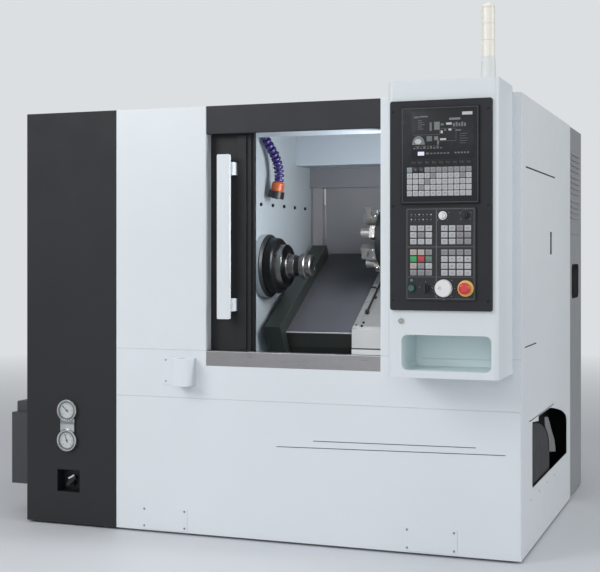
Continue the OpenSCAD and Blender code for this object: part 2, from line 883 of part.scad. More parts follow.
// Dark guard at the headstock end: a folded curb with side walls
module bed_shield() {
  side = [
    [shield_u0, bed_v - 20], [shield_u0, shield_v1], [shield_u1, shield_v1],
    [shield_u1, bed_v], [bed_u0, bed_v], [bed_u0 - 20, bed_v - 20]
  ];
  f = shield_fold;
  color(near_black) on_floor() on_slope() difference() {
    along_x(shield_x0, shield_x1) polygon(side);
    along_x(shield_x0 + f, shield_x1 - f) polygon([
      [shield_u0 + f, bed_v - 40], [shield_u0 + f, shield_v1 - f], [shield_u1 + 1, shield_v1 - f],
      [shield_u1 + 1, bed_v - 40]]);
    block([shield_x0 - 1, channel_u0, bed_v - 1], [shield_x1 + 1, channel_u1, saddle_v0 + 4]);
  }
}

module way_cover() {
  x0 = shield_x1;
  color(cover_grey) on_floor() on_slope() {
    block([x0, cover_u0, cover_v0], [cover_x1, cover_u1, cover_v1]);
    block([x0, cover_u0, bed_v - 35], [cover_x1, cover_u0 + sheet, cover_v1]);
    for (u = [rail_span / 2 - 100, rail_span / 2 + 100])
      block([x0, u, cover_v0 - 10], [cover_x1, u + sheet, cover_v1]);
  }
}

// Cover that travels with the saddle: a raised hood over the way cover and a flat plate
// round the cross slide, each with a stepped apron at its front edge
module saddle_cover() {
  hood_v1 = overhang_v1 + hood_rise - sheet;
  rim_w = 25;
  color(stainless) on_floor() {
    on_slope() {
      difference() {
        block([hood_x1 - sheet, overhang_u0, overhang_v0], [saddle_x1, cover_u1, overhang_v1]);
        block([way_x0 - 2, way_u0 - 2, overhang_v0 - 1],
          [way_x1 + 2, way_u1 + 2, overhang_v1 + 1]);
      }
      block([overhang_x0, overhang_u0, hood_v1 - sheet], [hood_x1, cover_u1, hood_v1]);
      block([overhang_x0, overhang_u0, hood_v1 - sheet],
        [overhang_x0 + rim_w, cover_u1, hood_v1 + sheet]);
      for (x = [overhang_x0, hood_x1 - sheet])
        block([x, overhang_u0, overhang_v0], [x + sheet, cover_u1, hood_v1]);
    }
    stepped_apron(overhang_x0, hood_x1, slope(overhang_u0, hood_v1));
    stepped_apron(hood_x1 - 1, saddle_x1, slope(overhang_u0, overhang_v1));
  }
}

// Three panels on a backing sheet, each lower one standing further out
module stepped_apron(x0, x1, edge) {
  low_z = 690;
  along_x(x0, x1) {
    translate([edge[0], low_z]) square([sheet, edge[1] - low_z]);
    translate([edge[0] - 3, low_z + 38]) square([4, edge[1] - low_z - 38]);
    translate([edge[0] - 6, low_z + 12]) square([7, 22]);
    translate([edge[0] - 9, low_z]) square([10, 9]);
  }
}

module saddle() {
  nut_x0 = (saddle_x0 + saddle_x1) / 2 - 40;
  carriage_l = 80;
  color(cast_grey) on_floor() on_slope() difference() {
    union() {
      block([saddle_x0, saddle_u0, saddle_v0], [saddle_x1, saddle_u1, overhang_v0]);
      for (x = [saddle_x0, saddle_x1 - carriage_l], u = [0, rail_span])
        block([x, u - 40, bed_v + 6], [x + carriage_l, u + 40, saddle_v0 + 1]);
      block([nut_x0, screw_u - 35, bed_v - 20], [nut_x0 + 80, screw_u + 35, saddle_v0 + 1]);
      dovetail_block(0, way_u0, way_u1);
    }
    for (u = [0, rail_span])
      block([saddle_x0 - 1, u - rail_w / 2 - slide_gap, bed_v],
        [saddle_x1 + 1, u + rail_w / 2 + slide_gap, bed_v + rail_h + slide_gap]);
    rod_x(nut_x0 - 1, nut_x0 + 81, screw_u, screw_v, screw_d + 2 * bore_gap);
  }
}

// Dovetail guide along the slope, wider at its top by the undercut on both sides
module dovetail_block(grow, u0, u1) {
  v0 = overhang_v0 - 1;
  translate([0, u1, 0]) rotate([90, 0, 0]) linear_extrude(u1 - u0) polygon([
    [way_x0 + dovetail - grow, v0], [way_x1 - dovetail + grow, v0],
    [way_x1 + grow, way_v1 + grow], [way_x0 - grow, way_v1 + grow]]);
}

module cross_slide() {
  c = turret_case_half;
  color(cast_grey) on_floor() on_slope() difference() {
    union() {
      block([slide_x0, turret_u - slide_half_u, slide_v0],
        [slide_x1, turret_u + slide_half_u, slide_v1]);
      along_x(turret_x1, turret_case_x1) polygon([
        [turret_u - c, slide_v1 - 1], [turret_u - c, c * 0.6], [turret_u - c * 0.6, c],
        [turret_u + c * 0.6, c], [turret_u + c, c * 0.6], [turret_u + c, slide_v1 - 1]]);
      rod_x(turret_case_x1 - 1, turret_case_x1 + 26, turret_u, 0, 190);
      rod_x(turret_case_x1 + 20, turret_case_x1 + 150, turret_u, 0, 150);
    }
    dovetail_block(slide_gap, turret_u - slide_half_u - 1, turret_u + slide_half_u + 1);
    rod_x(turret_x1 - 1, turret_x1 + turret_shaft_l + slide_gap, turret_u, 0,
      turret_shaft_d + 2 * bore_gap);
  }
}

// Turret disc with a flat milled at each station
module turret_disc() {
  flats_r = turret_d / 2 / cos(180 / stations) * 0.985;
  color(charcoal) on_floor() on_slope() {
    difference() {
      intersection() {
        turned_x(turret_u, 0, [
          [turret_x0, 0], [turret_x0, turret_d / 2 - 6], [turret_x0 + 6, turret_d / 2],
          [turret_x0 + turret_t - 14, turret_d / 2], [turret_x0 + turret_t, turret_d / 2 - 14],
          [turret_x0 + turret_t, 0]]);
        translate([turret_x0 - 1, turret_u, 0]) rotate([0, 90, 0]) rotate(180 / stations)
          linear_extrude(turret_t + 2)
            polygon([for (i = [0 : stations - 1])
              flats_r * [cos(i * 360 / stations), sin(i * 360 / stations)]]);
      }
      rod_x(turret_x0 - 1, turret_x0 + 5, turret_u, 0, 90);
    }
    rod_x(turret_x0 + turret_t - 1, turret_x1 + turret_shaft_l, turret_u, 0, turret_shaft_d);
    rod_x(turret_x0 - 6, turret_x0 + 6, turret_u, 0, 44);
  }
}

// One tool holder on the disc's face: a clamped block with a socket or a turning tool
module tool_holder(turning) {
  face = turret_x0;
  r0 = turret_d / 2 - 48;
  w = 52;
  reach = 62;
  difference() {
    union() {
      block([face - 22, -w / 2, r0], [face, w / 2, turret_d / 2 - 3]);
      if (turning) block([face - reach, -w / 2, r0 + 4], [face - 20, w / 2, turret_d / 2 - 6]);
      else rod_x(face - reach, face - 21, 0, r0 + 22, 42);
    }
    if (turning) block([face - 50, -5, r0 + 20], [face - 30, 15, turret_d / 2]);
    else rod_x(face - reach - 1, face - 10, 0, r0 + 22, tool_bore);
  }
  if (turning) {
    block([face - 49, -4, r0 + 20], [face - 31, 14, turret_d / 2 + 22]);
    block([face - 54, -2, turret_d / 2 + 14], [face - 44, 4, turret_d / 2 + 26]);
  }
  for (s = [-1, 1]) translate([face - 11, s * (w / 2 - 8), turret_d / 2 - 4])
    cylinder(d = 9, h = 6);
}

module tool_holders() {
  color(steel) on_floor() on_slope() translate([0, turret_u, 0])
    for (i = [0 : stations - 1]) rotate([i * 360 / stations, 0, 0]) tool_holder(i % 2 == 0);
}

module ball_screw() {
  color(steel) on_floor() on_slope() {
    rod_x(screw_block_x1 + 20, screw_end_x0 - 5, screw_u, screw_v, screw_d);
    rod_x(screw_block_x0 - 5, screw_end_x1 + 5, screw_u, screw_v, screw_journal_d);
  }
}

// Door

module door_frame() {
  mid_y1 = (track_y0 + track_y1) / 2;
  color(near_black) on_floor() difference() {
    union() {
      block([door_x0, door_y, door_z0], [door_x1 - rubber_w, door_y1, door_z1]);
      block([door_x1 - rubber_w - 1, door_y + 8, door_z0 + 6],
        [door_x1, door_y1 - 8, door_z1 - 6]);
      block([stile_x0, door_y - 8, door_z0 + 30], [stile_x0 + stile_w, door_y + 1,
        door_z1 - 22]);
      for (dx = hanger_at) {
        block([door_x0 + dx - 30, mid_y1 - track_slot / 2 + 2, door_z1 - 1],
          [door_x0 + dx + 30, mid_y1 + track_slot / 2 - 2, track_z0 + 26]);
        for (s = [-18, 18]) rod_y(door_x0 + dx + s, track_y0 + sheet + 3, track_y1 - sheet - 3,
          track_z0 + sheet + roller_d / 2 + slide_gap, roller_d);
      }
    }
    slab(window_x0 + 12, window_x1 - 12, window_z0 + 12, window_z1 - 12, door_y - 1,
      door_y1 + 1, 14);
    slab(window_x0, window_x1, window_z0, window_z1, door_y1 - 12, door_y1 + 1, 20);
  }
}

module door_glass() {
  color([0.7, 0.8, 0.85, 0.4]) on_floor()
    slab(window_x0 + 0.5, window_x1 - 0.5, window_z0 + 0.5, window_z1 - 0.5, door_y1 - 12,
      door_y1 - 12 + glass_t, 19.5);
}

module door_handle() {
  color(panel_white) on_floor() {
    slab(handle_x, handle_x + handle_w, handle_z, handle_z + handle_h, -handle_t, 0, 5);
    for (z = [handle_z + 30, handle_z + handle_h - 30 - standoff_h])
      block([handle_x + 10, -1, z], [handle_x + handle_w + 8, door_y, z + standoff_h]);
  }
}

// Control box

// The box's outline from above, drawn in by the given amount on all sides
module box_plan(inset) {
  r = box_r - inset;
  x0 = box_x0 + inset;
  x1 = box_x1 - inset;
  y0 = -box_d + inset;
  translate([x0 + r, y0]) square([x1 - x0 - 2 * r, -inset - y0]);
  translate([x0, y0 + r]) square([x1 - x0, -inset - y0 - r]);
  for (x = [x0 + r, x1 - r]) translate([x, y0 + r]) circle(r);
}

module control_box() {
  hollow_z0 = pocket_z1 + 14;
  key_bore = 12;
  color(panel_white) on_floor() difference() {
    translate([0, 0, box_z]) linear_extrude(box_h) box_plan(0);
    translate([0, 0, hollow_z0]) linear_extrude(box_z1 - sheet - hollow_z0) box_plan(sheet);
    slab(pocket_x0, pocket_x1, pocket_z0, pocket_z1, -box_d - 1, -box_d + pocket_d, pocket_r);
    rod_y(key_x, -box_d - 1, -box_d + sheet + 1, key_z, key_bore + 2 * bore_gap);
  }
}

module control_plate() {
  screws = 3;
  color(charcoal) on_floor() difference() {
    slab(plate_x0, plate_x1, plate_z0, plate_z1, plate_y, -box_d, 8);
    for (x = [plate_x0 + 12, plate_x1 - 12], i = [0 : screws - 1])
      rod_y(x, plate_y - 1, plate_y + 3, plate_z0 + 34 + i * (plate_z1 - plate_z0 - 72) / 2, 11);
  }
}

module display_unit() {
  edge = 5;
  color("#2b2d30") on_floor() difference() {
    slab(unit_x0, unit_x1, unit_z0, unit_z1, unit_y, plate_y, 6);
    slab(screen_x0 - edge, screen_x1 + edge, screen_z0 - edge, screen_z1 + edge, unit_y - 1,
      unit_y + 2, 4);
    block([screen_x0, unit_y, screen_z0], [screen_x1, unit_y + screen_deep, screen_z1]);
    block([key_field_x0 - 3, unit_y - 1, key_field_z0 - 3],
      [key_field_x1 + 3, unit_y + 1.5, key_field_z1 + 3]);
  }
}

module display_screen() {
  color("#15181c") on_floor()
    block([screen_x0, unit_y + 2, screen_z0], [screen_x1, unit_y + screen_deep, screen_z1]);
}

// A field of square keys standing on the plane y, between two corners
module key_field(x0, x1, z0, z1, y, columns, rows) {
  dx = (x1 - x0) / columns;
  dz = (z1 - z0) / rows;
  for (i = [0 : columns - 1], j = [0 : rows - 1])
    block([x0 + (i + 0.5 - key_share / 2) * dx, y - key_t, z0 + (j + 0.5 - key_share / 2) * dz],
      [x0 + (i + 0.5 + key_share / 2) * dx, y, z0 + (j + 0.5 + key_share / 2) * dz]);
}

module keyboard_keys() {
  color("#9aa0a6") on_floor() key_field(key_field_x0, key_field_x1, key_field_z0, key_field_z1,
    unit_y + 1.5, key_columns, key_rows);
}

module operator_panel() {
  color("#26282a") on_floor() difference() {
    union() {
      slab(op_x0, op_x1, op_z0, op_z1, op_y, plate_y, 5);
      rod_y(estop_x, op_y - 2, op_y + 1, control_row_z, 56);
      rod_y(estop_x, op_y - estop_collar_t, op_y + 1, control_row_z, estop_collar_d);
      rod_y(start_x, op_y - 4, op_y + 1, control_row_z, start_collar_d);
    }
    for (p = [[wheel_x, control_row_z], [selector_x, control_row_z], [feed_x, knob_z],
              [spindle_knob_x, knob_z]])
      rod_y(p[0], op_y - 1, op_y + stem_in + slide_gap, p[1], stem_d + 2 * bore_gap);
    rod_y(estop_x, op_y - estop_collar_t - 1, op_y + stem_in + slide_gap, control_row_z, 22);
    rod_y(start_x, op_y - 5, op_y + stem_in + slide_gap, control_row_z, start_d + 2 * slide_gap);
  }
}

module operator_keys() {
  color("#8f9499") on_floor() {
    key_field(left_keys_x0, left_keys_x1, low_keys_z0, low_keys_z1, op_y, 3, 4);
    key_field(left_keys_x0, left_keys_x1, high_keys_z0, high_keys_z1, op_y, 3, 3);
    key_field(right_keys_x0, right_keys_x1, low_keys_z0, low_keys_z1, op_y, 4, 4);
    key_field(right_keys_x0, right_keys_x1, high_keys_z0, high_keys_z1, op_y, 4, 3);
    rod_y(start_x, op_y - 2, op_y, control_row_z + 27, 10);
  }
}

// A turning control: a stem in the panel and a body in front of it
module knob(x, z, d, t, skirt) {
  rod_y(x, op_y - slide_gap - 3, op_y - slide_gap, z, d + skirt);
  rod_y(x, op_y - t, op_y - slide_gap, z, d);
  rod_y(x, op_y - slide_gap - 1, op_y + stem_in, z, stem_d);
}

module handwheel() {
  ribs = 24;
  color("#e4e6e8") on_floor() {
    difference() {
      knob(wheel_x, control_row_z, wheel_d - 3, wheel_t, 3);
      for (i = [0 : ribs - 1]) translate([wheel_x, 0, control_row_z]) rotate([0, i * 360 / ribs, 0])
        block([-1, op_y - wheel_t - 1, wheel_d / 2 - 3], [1, op_y - 4, wheel_d / 2 + 2]);
    }
    rod_y(wheel_x - 18, op_y - wheel_t - 10, op_y - wheel_t + 1, control_row_z + 6, 12);
  }
}

module estop_button() {
  head_y = op_y - estop_h;
  color("#c41e22") on_floor() translate([estop_x, 0, control_row_z]) rotate([90, 0, 0])
    rotate_extrude(convexity = 4) polygon([
      [0, -op_y - stem_in + 6], [10.5, -op_y - stem_in + 6],
      [10.5, -head_y - 14], [estop_d / 2 - 2, -head_y - 14], [estop_d / 2, -head_y - 11],
      [estop_d / 2, -head_y - 5], [estop_d / 2 - 3, -head_y - 1.5], [estop_d / 2 - 9, -head_y],
      [0, -head_y]]);
}

module feed_knob() {
  color("#dfe2e4") on_floor() {
    knob(feed_x, knob_z, feed_d - 8, 16, 8);
    block([feed_x - 3, op_y - 20, knob_z - 10], [feed_x + 3, op_y - 15, knob_z + 10]);
  }
}

module spindle_knob() {
  color(near_black) on_floor() {
    knob(spindle_knob_x, knob_z, spindle_knob_d - 7, 16, 7);
    block([spindle_knob_x - 2.5, op_y - 20, knob_z - 8],
      [spindle_knob_x + 2.5, op_y - 15, knob_z + 8]);
  }
}

module axis_selector() {
  color(near_black) on_floor() {
    knob(selector_x, control_row_z, selector_d - 6, 12, 6);
    slab(selector_x - 5, selector_x + 5, control_row_z - 14, control_row_z + 14, op_y - 24,
      op_y - 11, 4.5);
  }
}

module start_button() {
  color("#2f9e44") on_floor() {
    rod_y(start_x, op_y - 9, op_y + stem_in - 4, control_row_z, start_d);
  }
}

module key_switch() {
  bore = 12;
  color(steel) on_floor() {
    rod_y(key_x, -box_d - slide_gap - 4, -box_d - slide_gap, key_z, key_d);
    rod_y(key_x, -box_d - slide_gap - 1, -box_d + 12, key_z, bore);
    block([key_x - 5, -box_d - 9, key_z - 1.5], [key_x + 5, -box_d - 4, key_z + 1.5]);
  }
}

// Signal tower

module tower_base() {
  color("#dcdfe0") on_floor() translate([tower_x, tower_y, box_z1]) rotate_extrude($fn = 96)
    polygon([[0, 0], [tower_d / 2 + 3, 0], [tower_d / 2 + 3, 5], [tower_d / 2, 8],
      [tower_d / 2 - 2, tower_base_h - 12], [lens_d / 2, tower_base_h - 10],
      [lens_d / 2, tower_base_h], [0, tower_base_h]]);
}

module tower_lens() {
  r = lens_d / 2;
  tiers = 3;
  tier = (lens_h - 14) / tiers;
  color("#e8eaea") on_floor() translate([tower_x, tower_y, box_z1 + tower_base_h])
    rotate_extrude($fn = 96) polygon(concat(
      [[0, 0]],
      [for (i = [0 : tiers - 1], p = [[r, 0], [r, tier - 5], [r - 1.5, tier - 4], [r - 1.5, tier - 1]])
        [p[0], i * tier + p[1]]],
      [[r, tiers * tier], [r, lens_h - 10],
       [r - 3, lens_h - 4], [r - 10, lens_h], [0, lens_h]]));
}

// Gauges and main switch

module gauge_cases() {
  bridge_w = 36;
  r = gauge_d / 2;
  color("#c9ccce") on_floor() {
    for (z = [gauge_z_low, gauge_z_high]) translate([gauge_x, 0, z]) rotate([90, 0, 0])
      rotate_extrude($fn = 96) polygon([
        [0, 0], [r - 3, 0], [r - 3, gauge_t - 9], [r, gauge_t - 7], [r, gauge_t - 2],
        [r - 2, gauge_t], [r - 5, gauge_t], [r - 6, gauge_t - gauge_deep],
        [0, gauge_t - gauge_deep]]);
    block([gauge_x - bridge_w / 2, -9, gauge_z_low + r - 5], [gauge_x + bridge_w / 2, 0,
      gauge_z_high - r + 5]);
  }
}

module needle(z, angle) {
  face_y = -gauge_t + gauge_deep;
  translate([gauge_x, 0, z]) rotate([0, angle, 0]) {
    rod_y(0, face_y - 2.5, face_y - slide_gap, 0, 7);
    block([-0.8, face_y - 1.8, -8], [0.8, face_y - 0.8, 25]);
  }
}

module upper_needle() {
  color("black") on_floor() needle(gauge_z_high, -50);
}

module lower_needle() {
  color("black") on_floor() needle(gauge_z_low, -20);
}

module switch_housing() {
  t = 2;
  color("#111213") on_floor() difference() {
    union() {
      block([switch_x0 - t, sheet, switch_z0 - t], [switch_x1 + t, switch_deep, switch_z1 + t]);
      block([switch_x0 + 0.5, 0, switch_z0 + 0.5], [switch_x1 - 0.5, sheet + 1, switch_z1 - 0.5]);
    }
    block([switch_x0 + t, -1, switch_z0 + t], [switch_x1 - t, switch_deep - t, switch_z1 - t]);
    rod_y(lever_x, switch_deep - t - 1, switch_deep + 1, lever_z, 10 + 2 * bore_gap);
  }
}

module switch_lever() {
  color("#d9dcde") on_floor() translate([lever_x, 0, lever_z]) rotate([0, 45, 0]) {
    rod_y(0, 34, switch_deep - 2 - slide_gap, 0, 30);
    rod_y(0, 33, switch_deep + 4, 0, 10);
    slab(-8, 8, -12, 44, 18, 35, 7.5);
  }
}

// Outside fittings

module service_box() {
  color("#33363a") on_floor() {
    difference() {
      block([-service_w, service_y0, service_z0], [0, service_y1, service_z1]);
      for (i = [0 : 5]) block([-service_w - 1, service_y0 + 60, service_z0 + 60 + i * 22],
        [-service_w + 6, service_y1 - 60, service_z0 + 68 + i * 22]);
    }
    slab(-service_w + 14, -4, service_z1 - 1, service_z1 + 48, service_y0 + 20, service_y0 + 230, 8);
    translate([-service_w / 2, service_y0 + 310, service_z1 - 1]) cylinder(d = 60, h = 28);
  }
}

module gun_holster() {
  mid = (holster_x0 + holster_x1) / 2;
  color(panel_white) on_floor() difference() {
    union() {
      translate([0, 0, holster_z0]) linear_extrude(holster_z1 - holster_z0) {
        translate([holster_x0 + 8, -holster_out]) square([holster_x1 - holster_x0 - 16,
          holster_out]);
        translate([holster_x0, -holster_out + 8]) square([holster_x1 - holster_x0,
          holster_out - 8]);
        for (x = [holster_x0 + 8, holster_x1 - 8]) translate([x, -holster_out + 8]) circle(8);
      }
      block([holster_flange_x, -sheet, holster_z0], [holster_x0 + 1, 0, holster_z1]);
    }
    translate([mid, -holster_out / 2 - 2, holster_z0 - 1])
      cylinder(d = holster_bore, h = holster_z1 - holster_z0 + 2);
    for (z = [holster_z0 + 12, holster_z1 - 12]) rod_y(holster_flange_x + 17, -sheet - 1, 1, z, 7);
  }
}

// A barrel-shaped hose link with flat ends a little short of the joints
module hose_link(d, h) {
  rotate_extrude($fn = 32) polygon([
    [0, hose_gap], [d * 0.42, hose_gap], [d * 0.5, h * 0.3], [d * 0.5, h * 0.62],
    [d * 0.42, h - hose_gap], [0, h - hose_gap]]);
}

// Joints of the hose: the first link hangs square from the ceiling, the next ones bend to the
// right and back, and the last one stands square on the nozzle's end
link_h = (hose_top[2] - hose_end[2]) / hose_links;
hose_knee = hose_end + link_h * [sin(nozzle_tilt), 0, cos(nozzle_tilt)];
function hose_joint(i) = let (
  s = (i - 1) / (hose_links - 2),
  ease = (1 + pow(hose_bend_at, 4)) * pow(s, 4) / (pow(s, 4) + pow(hose_bend_at, 4)),
  start = hose_top - [0, 0, link_h],
  run = hose_knee - start)
  i == 0 ? hose_top : i == hose_links ? hose_end :
  [start[0] + run[0] * ease, start[1] + run[1] * ease, start[2] + run[2] * s];

// Links joined by balls
module coolant_hose() {
  color("#3a2f86") on_floor() {
    for (i = [0 : hose_links - 1]) {
      a = hose_joint(i);
      d = hose_joint(i + 1) - a;
      h = norm(d);
      translate(a) rotate([0, acos(d[2] / h), atan2(d[1], d[0])]) hose_link(hose_d, h);
    }
    for (i = [1 : hose_links - 1]) translate(hose_joint(i)) sphere(d = hose_d / 2, $fn = 32);
    translate(hose_top - [0, 0, hose_gap + 1]) cylinder(r = hose_neck_r, h = hose_gap + 1);
  }
}

module hose_nozzle() {
  color("#c8642c") on_floor() translate(hose_end) rotate([180, nozzle_tilt, 0]) difference() {
    rotate_extrude($fn = 64) polygon([
      [0, -hose_gap], [hose_neck_r, -hose_gap], [hose_neck_r, 0], [22, 0], [27, 5], [27, 38],
      [34, 40], [34, 70], [13, 73], [0, 73]]);
    translate([0, 0, 20]) cylinder(d = 16, h = 60);
  }
}

// Electrical cabinet

// A pressed louvre: a wedge that opens downwards
module louvre(z) {
  translate([cabinet_x1, louvre_y0, z]) rotate([-90, 0, 0]) linear_extrude(louvre_l)
    polygon([[-1, 0], [louvre_out, 0], [louvre_out, -2.5], [0, -louvre_h], [-1, -louvre_h]]);
}

module cabinet_shell() {
  door_x0 = cabinet_x0 + cabinet_frame;
  door_x1 = cabinet_x1 - cabinet_frame;
  color("#8e9092") on_floor() {
    difference() {
      block([cabinet_x0, cabinet_y0, floor_gap], [cabinet_x1, cabinet_y1, machine_h]);
      block([cabinet_x0 + sheet, cabinet_y0 + sheet, floor_gap + sheet],
        [cabinet_x1 - sheet, cabinet_y1 - sheet, machine_h - sheet]);
      slab(door_x0, door_x1, floor_gap + cabinet_frame + 30, machine_h - cabinet_frame,
        cabinet_y1 - sheet - 1, cabinet_y1 + 1, 12);
      along_x(cabinet_x1 - sheet - 1, cabinet_x1 + 1) translate([vent_y0, vent_z0])
        rounded_rect(vent_y1 - vent_y0, vent_z1 - vent_z0, 30);
      block([cabinet_x1 - sheet / 2, cabinet_y0 + 6, cabinet_seam_z],
        [cabinet_x1 + 1, cabinet_y1 - 6, cabinet_seam_z + 5]);
    }
    for (g = louvre_groups, i = [0 : louvres_each - 1]) louvre(g + i * louvre_pitch);
    for (z = hinge_at) {
      block([cabinet_x0, cabinet_y1 - 1, z - hinge_h], [cabinet_x0 + hinge_in + hinge_r,
        hinge_y + hinge_r, z]);
      translate([cabinet_x0 + hinge_in, hinge_y, z - 1]) cylinder(d = hinge_pin_d, h = hinge_h - 1);
    }
  }
}

module cabinet_door() {
  x0 = cabinet_x0 + hinge_in + 12;
  x1 = cabinet_x1 - 12;
  z0 = floor_gap + 50;
  z1 = machine_h - 20;
  color("#94979a") on_floor() difference() {
    union() {
      difference() {
        block([x0, cabinet_door_y0, z0], [x1, cabinet_door_y1, z1]);
        block([x0 + sheet, cabinet_door_y0 - 1, z0 + sheet],
          [x1 - sheet, cabinet_door_y1 - sheet, z1 - sheet]);
      }
      for (z = hinge_at) {
        translate([cabinet_x0 + hinge_in, hinge_y, z + slide_gap])
          cylinder(r = hinge_r, h = hinge_h);
        block([cabinet_x0 + hinge_in, hinge_y - 3, z + slide_gap], [x0 + 1, hinge_y + 3,
          z + slide_gap + hinge_h]);
      }
    }
    for (z = hinge_at) translate([cabinet_x0 + hinge_in, hinge_y, z - 1])
      cylinder(d = hinge_pin_d + 2 * bore_gap, h = hinge_h - 1 + slide_gap);
    rod_y(x1 - latch_in, cabinet_door_y0 - 1, cabinet_door_y1 + 1, latch_z, 14 + 2 * bore_gap);
  }
}

module cabinet_latch() {
  x = cabinet_x1 - 12 - latch_in;
  y = cabinet_door_y1;
  color(near_black) on_floor() {
    rod_y(x, y - sheet - 6, y + latch_out, latch_z, 14);
    rod_y(x, y + slide_gap, y + latch_out, latch_z, 30);
    slab(x - 11, x + 11, latch_z - 120, latch_z, y + 6, y + latch_out, 10);
  }
}

base_casting();
levelling_feet();
guide_rails();
headstock();
spindle_bearings();
spindle_motor();
drive_belt();
end_column();
front_panel();
header_panel();
skirt_panel();
right_side_panel();
rear_roof_cover();
door_sill();
door_track();
chamber_liner();
chamber_hood();
coolant_tank();
bed_shield();
way_cover();
service_box();
gun_holster();
control_box();
control_plate();
display_unit();
display_screen();
keyboard_keys();
operator_panel();
operator_keys();
tower_base();
tower_lens();
gauge_cases();
switch_housing();
cabinet_shell();
coolant_hose();
hose_nozzle();
door_frame();
door_glass();
door_handle();
spindle();
collet_chuck();
motor_pulley();
saddle();
saddle_cover();
cross_slide();
turret_disc();
tool_holders();
ball_screw();
handwheel();
estop_button();
feed_knob();
spindle_knob();
axis_selector();
start_button();
key_switch();
switch_lever();
upper_needle();
lower_needle();
cabinet_door();
cabinet_latch();
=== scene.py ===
import math
import random

import bmesh
import bpy
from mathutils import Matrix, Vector, geometry


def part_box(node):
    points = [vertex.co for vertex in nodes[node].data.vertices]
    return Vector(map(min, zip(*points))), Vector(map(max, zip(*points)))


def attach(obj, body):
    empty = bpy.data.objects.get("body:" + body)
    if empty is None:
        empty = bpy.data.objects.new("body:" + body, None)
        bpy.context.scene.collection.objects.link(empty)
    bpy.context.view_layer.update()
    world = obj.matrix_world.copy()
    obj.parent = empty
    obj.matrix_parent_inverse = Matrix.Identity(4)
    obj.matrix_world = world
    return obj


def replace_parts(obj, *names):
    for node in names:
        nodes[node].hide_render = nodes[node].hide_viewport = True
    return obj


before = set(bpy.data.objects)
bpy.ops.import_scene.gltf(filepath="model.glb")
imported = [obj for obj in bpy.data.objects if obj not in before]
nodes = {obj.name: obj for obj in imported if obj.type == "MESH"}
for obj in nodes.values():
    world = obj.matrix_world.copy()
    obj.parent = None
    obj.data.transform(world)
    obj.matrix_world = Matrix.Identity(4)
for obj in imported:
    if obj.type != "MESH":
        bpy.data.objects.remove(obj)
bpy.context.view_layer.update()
random.seed(4)

# Places are in millimetres: x from the enclosure's left face, y from the front skin and z from
# the floor. On the bed's slope, u goes up it and v stands off it, both from the spindle's axis.
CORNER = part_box("end_column")[0]
SLOPE = math.radians(30)
SLOPE_UP = (0.0, math.cos(SLOPE), math.sin(SLOPE))
SLOPE_OFF = (0.0, -math.sin(SLOPE), math.cos(SLOPE))
SPINDLE_Y, SPINDLE_Z = 474, 1067
FORWARD, RIGHTWARD = (0, -1, 0), (1, 0, 0)


def at(x, y, z):
    return Vector((CORNER.x + x / 1000, CORNER.y + y / 1000, z / 1000))


def on_slope(u, v):
    return (SPINDLE_Y + u * SLOPE_UP[1] + v * SLOPE_OFF[1],
            SPINDLE_Z + u * SLOPE_UP[2] + v * SLOPE_OFF[2])


# Camera, solved from the photograph's straight edges
cam_data = bpy.data.cameras.new("view_camera")
cam = bpy.data.objects.new("view_camera", cam_data)
bpy.context.scene.collection.objects.link(cam)
cam.location = (1.9112, -5.14025, 1.1132)
cam.rotation_euler = (math.radians(90), 0, math.radians(20.27))
cam_data.lens = 74.15
cam_data.sensor_width = 36
cam_data.shift_y = -0.0518
cam_data.clip_end = 200
bpy.context.scene.camera = cam
bpy.context.scene.view_settings.view_transform = "Standard"


# Colour of a hex string in linear light
def lin(text):
    out = []
    for i in (0, 2, 4):
        c = int(text[i:i + 2], 16) / 255
        out.append(c / 12.92 if c <= 0.04045 else ((c + 0.055) / 1.055) ** 2.4)
    return (*out, 1.0)


def shade(color, k):
    return (color[0] * k, color[1] * k, color[2] * k, 1.0)


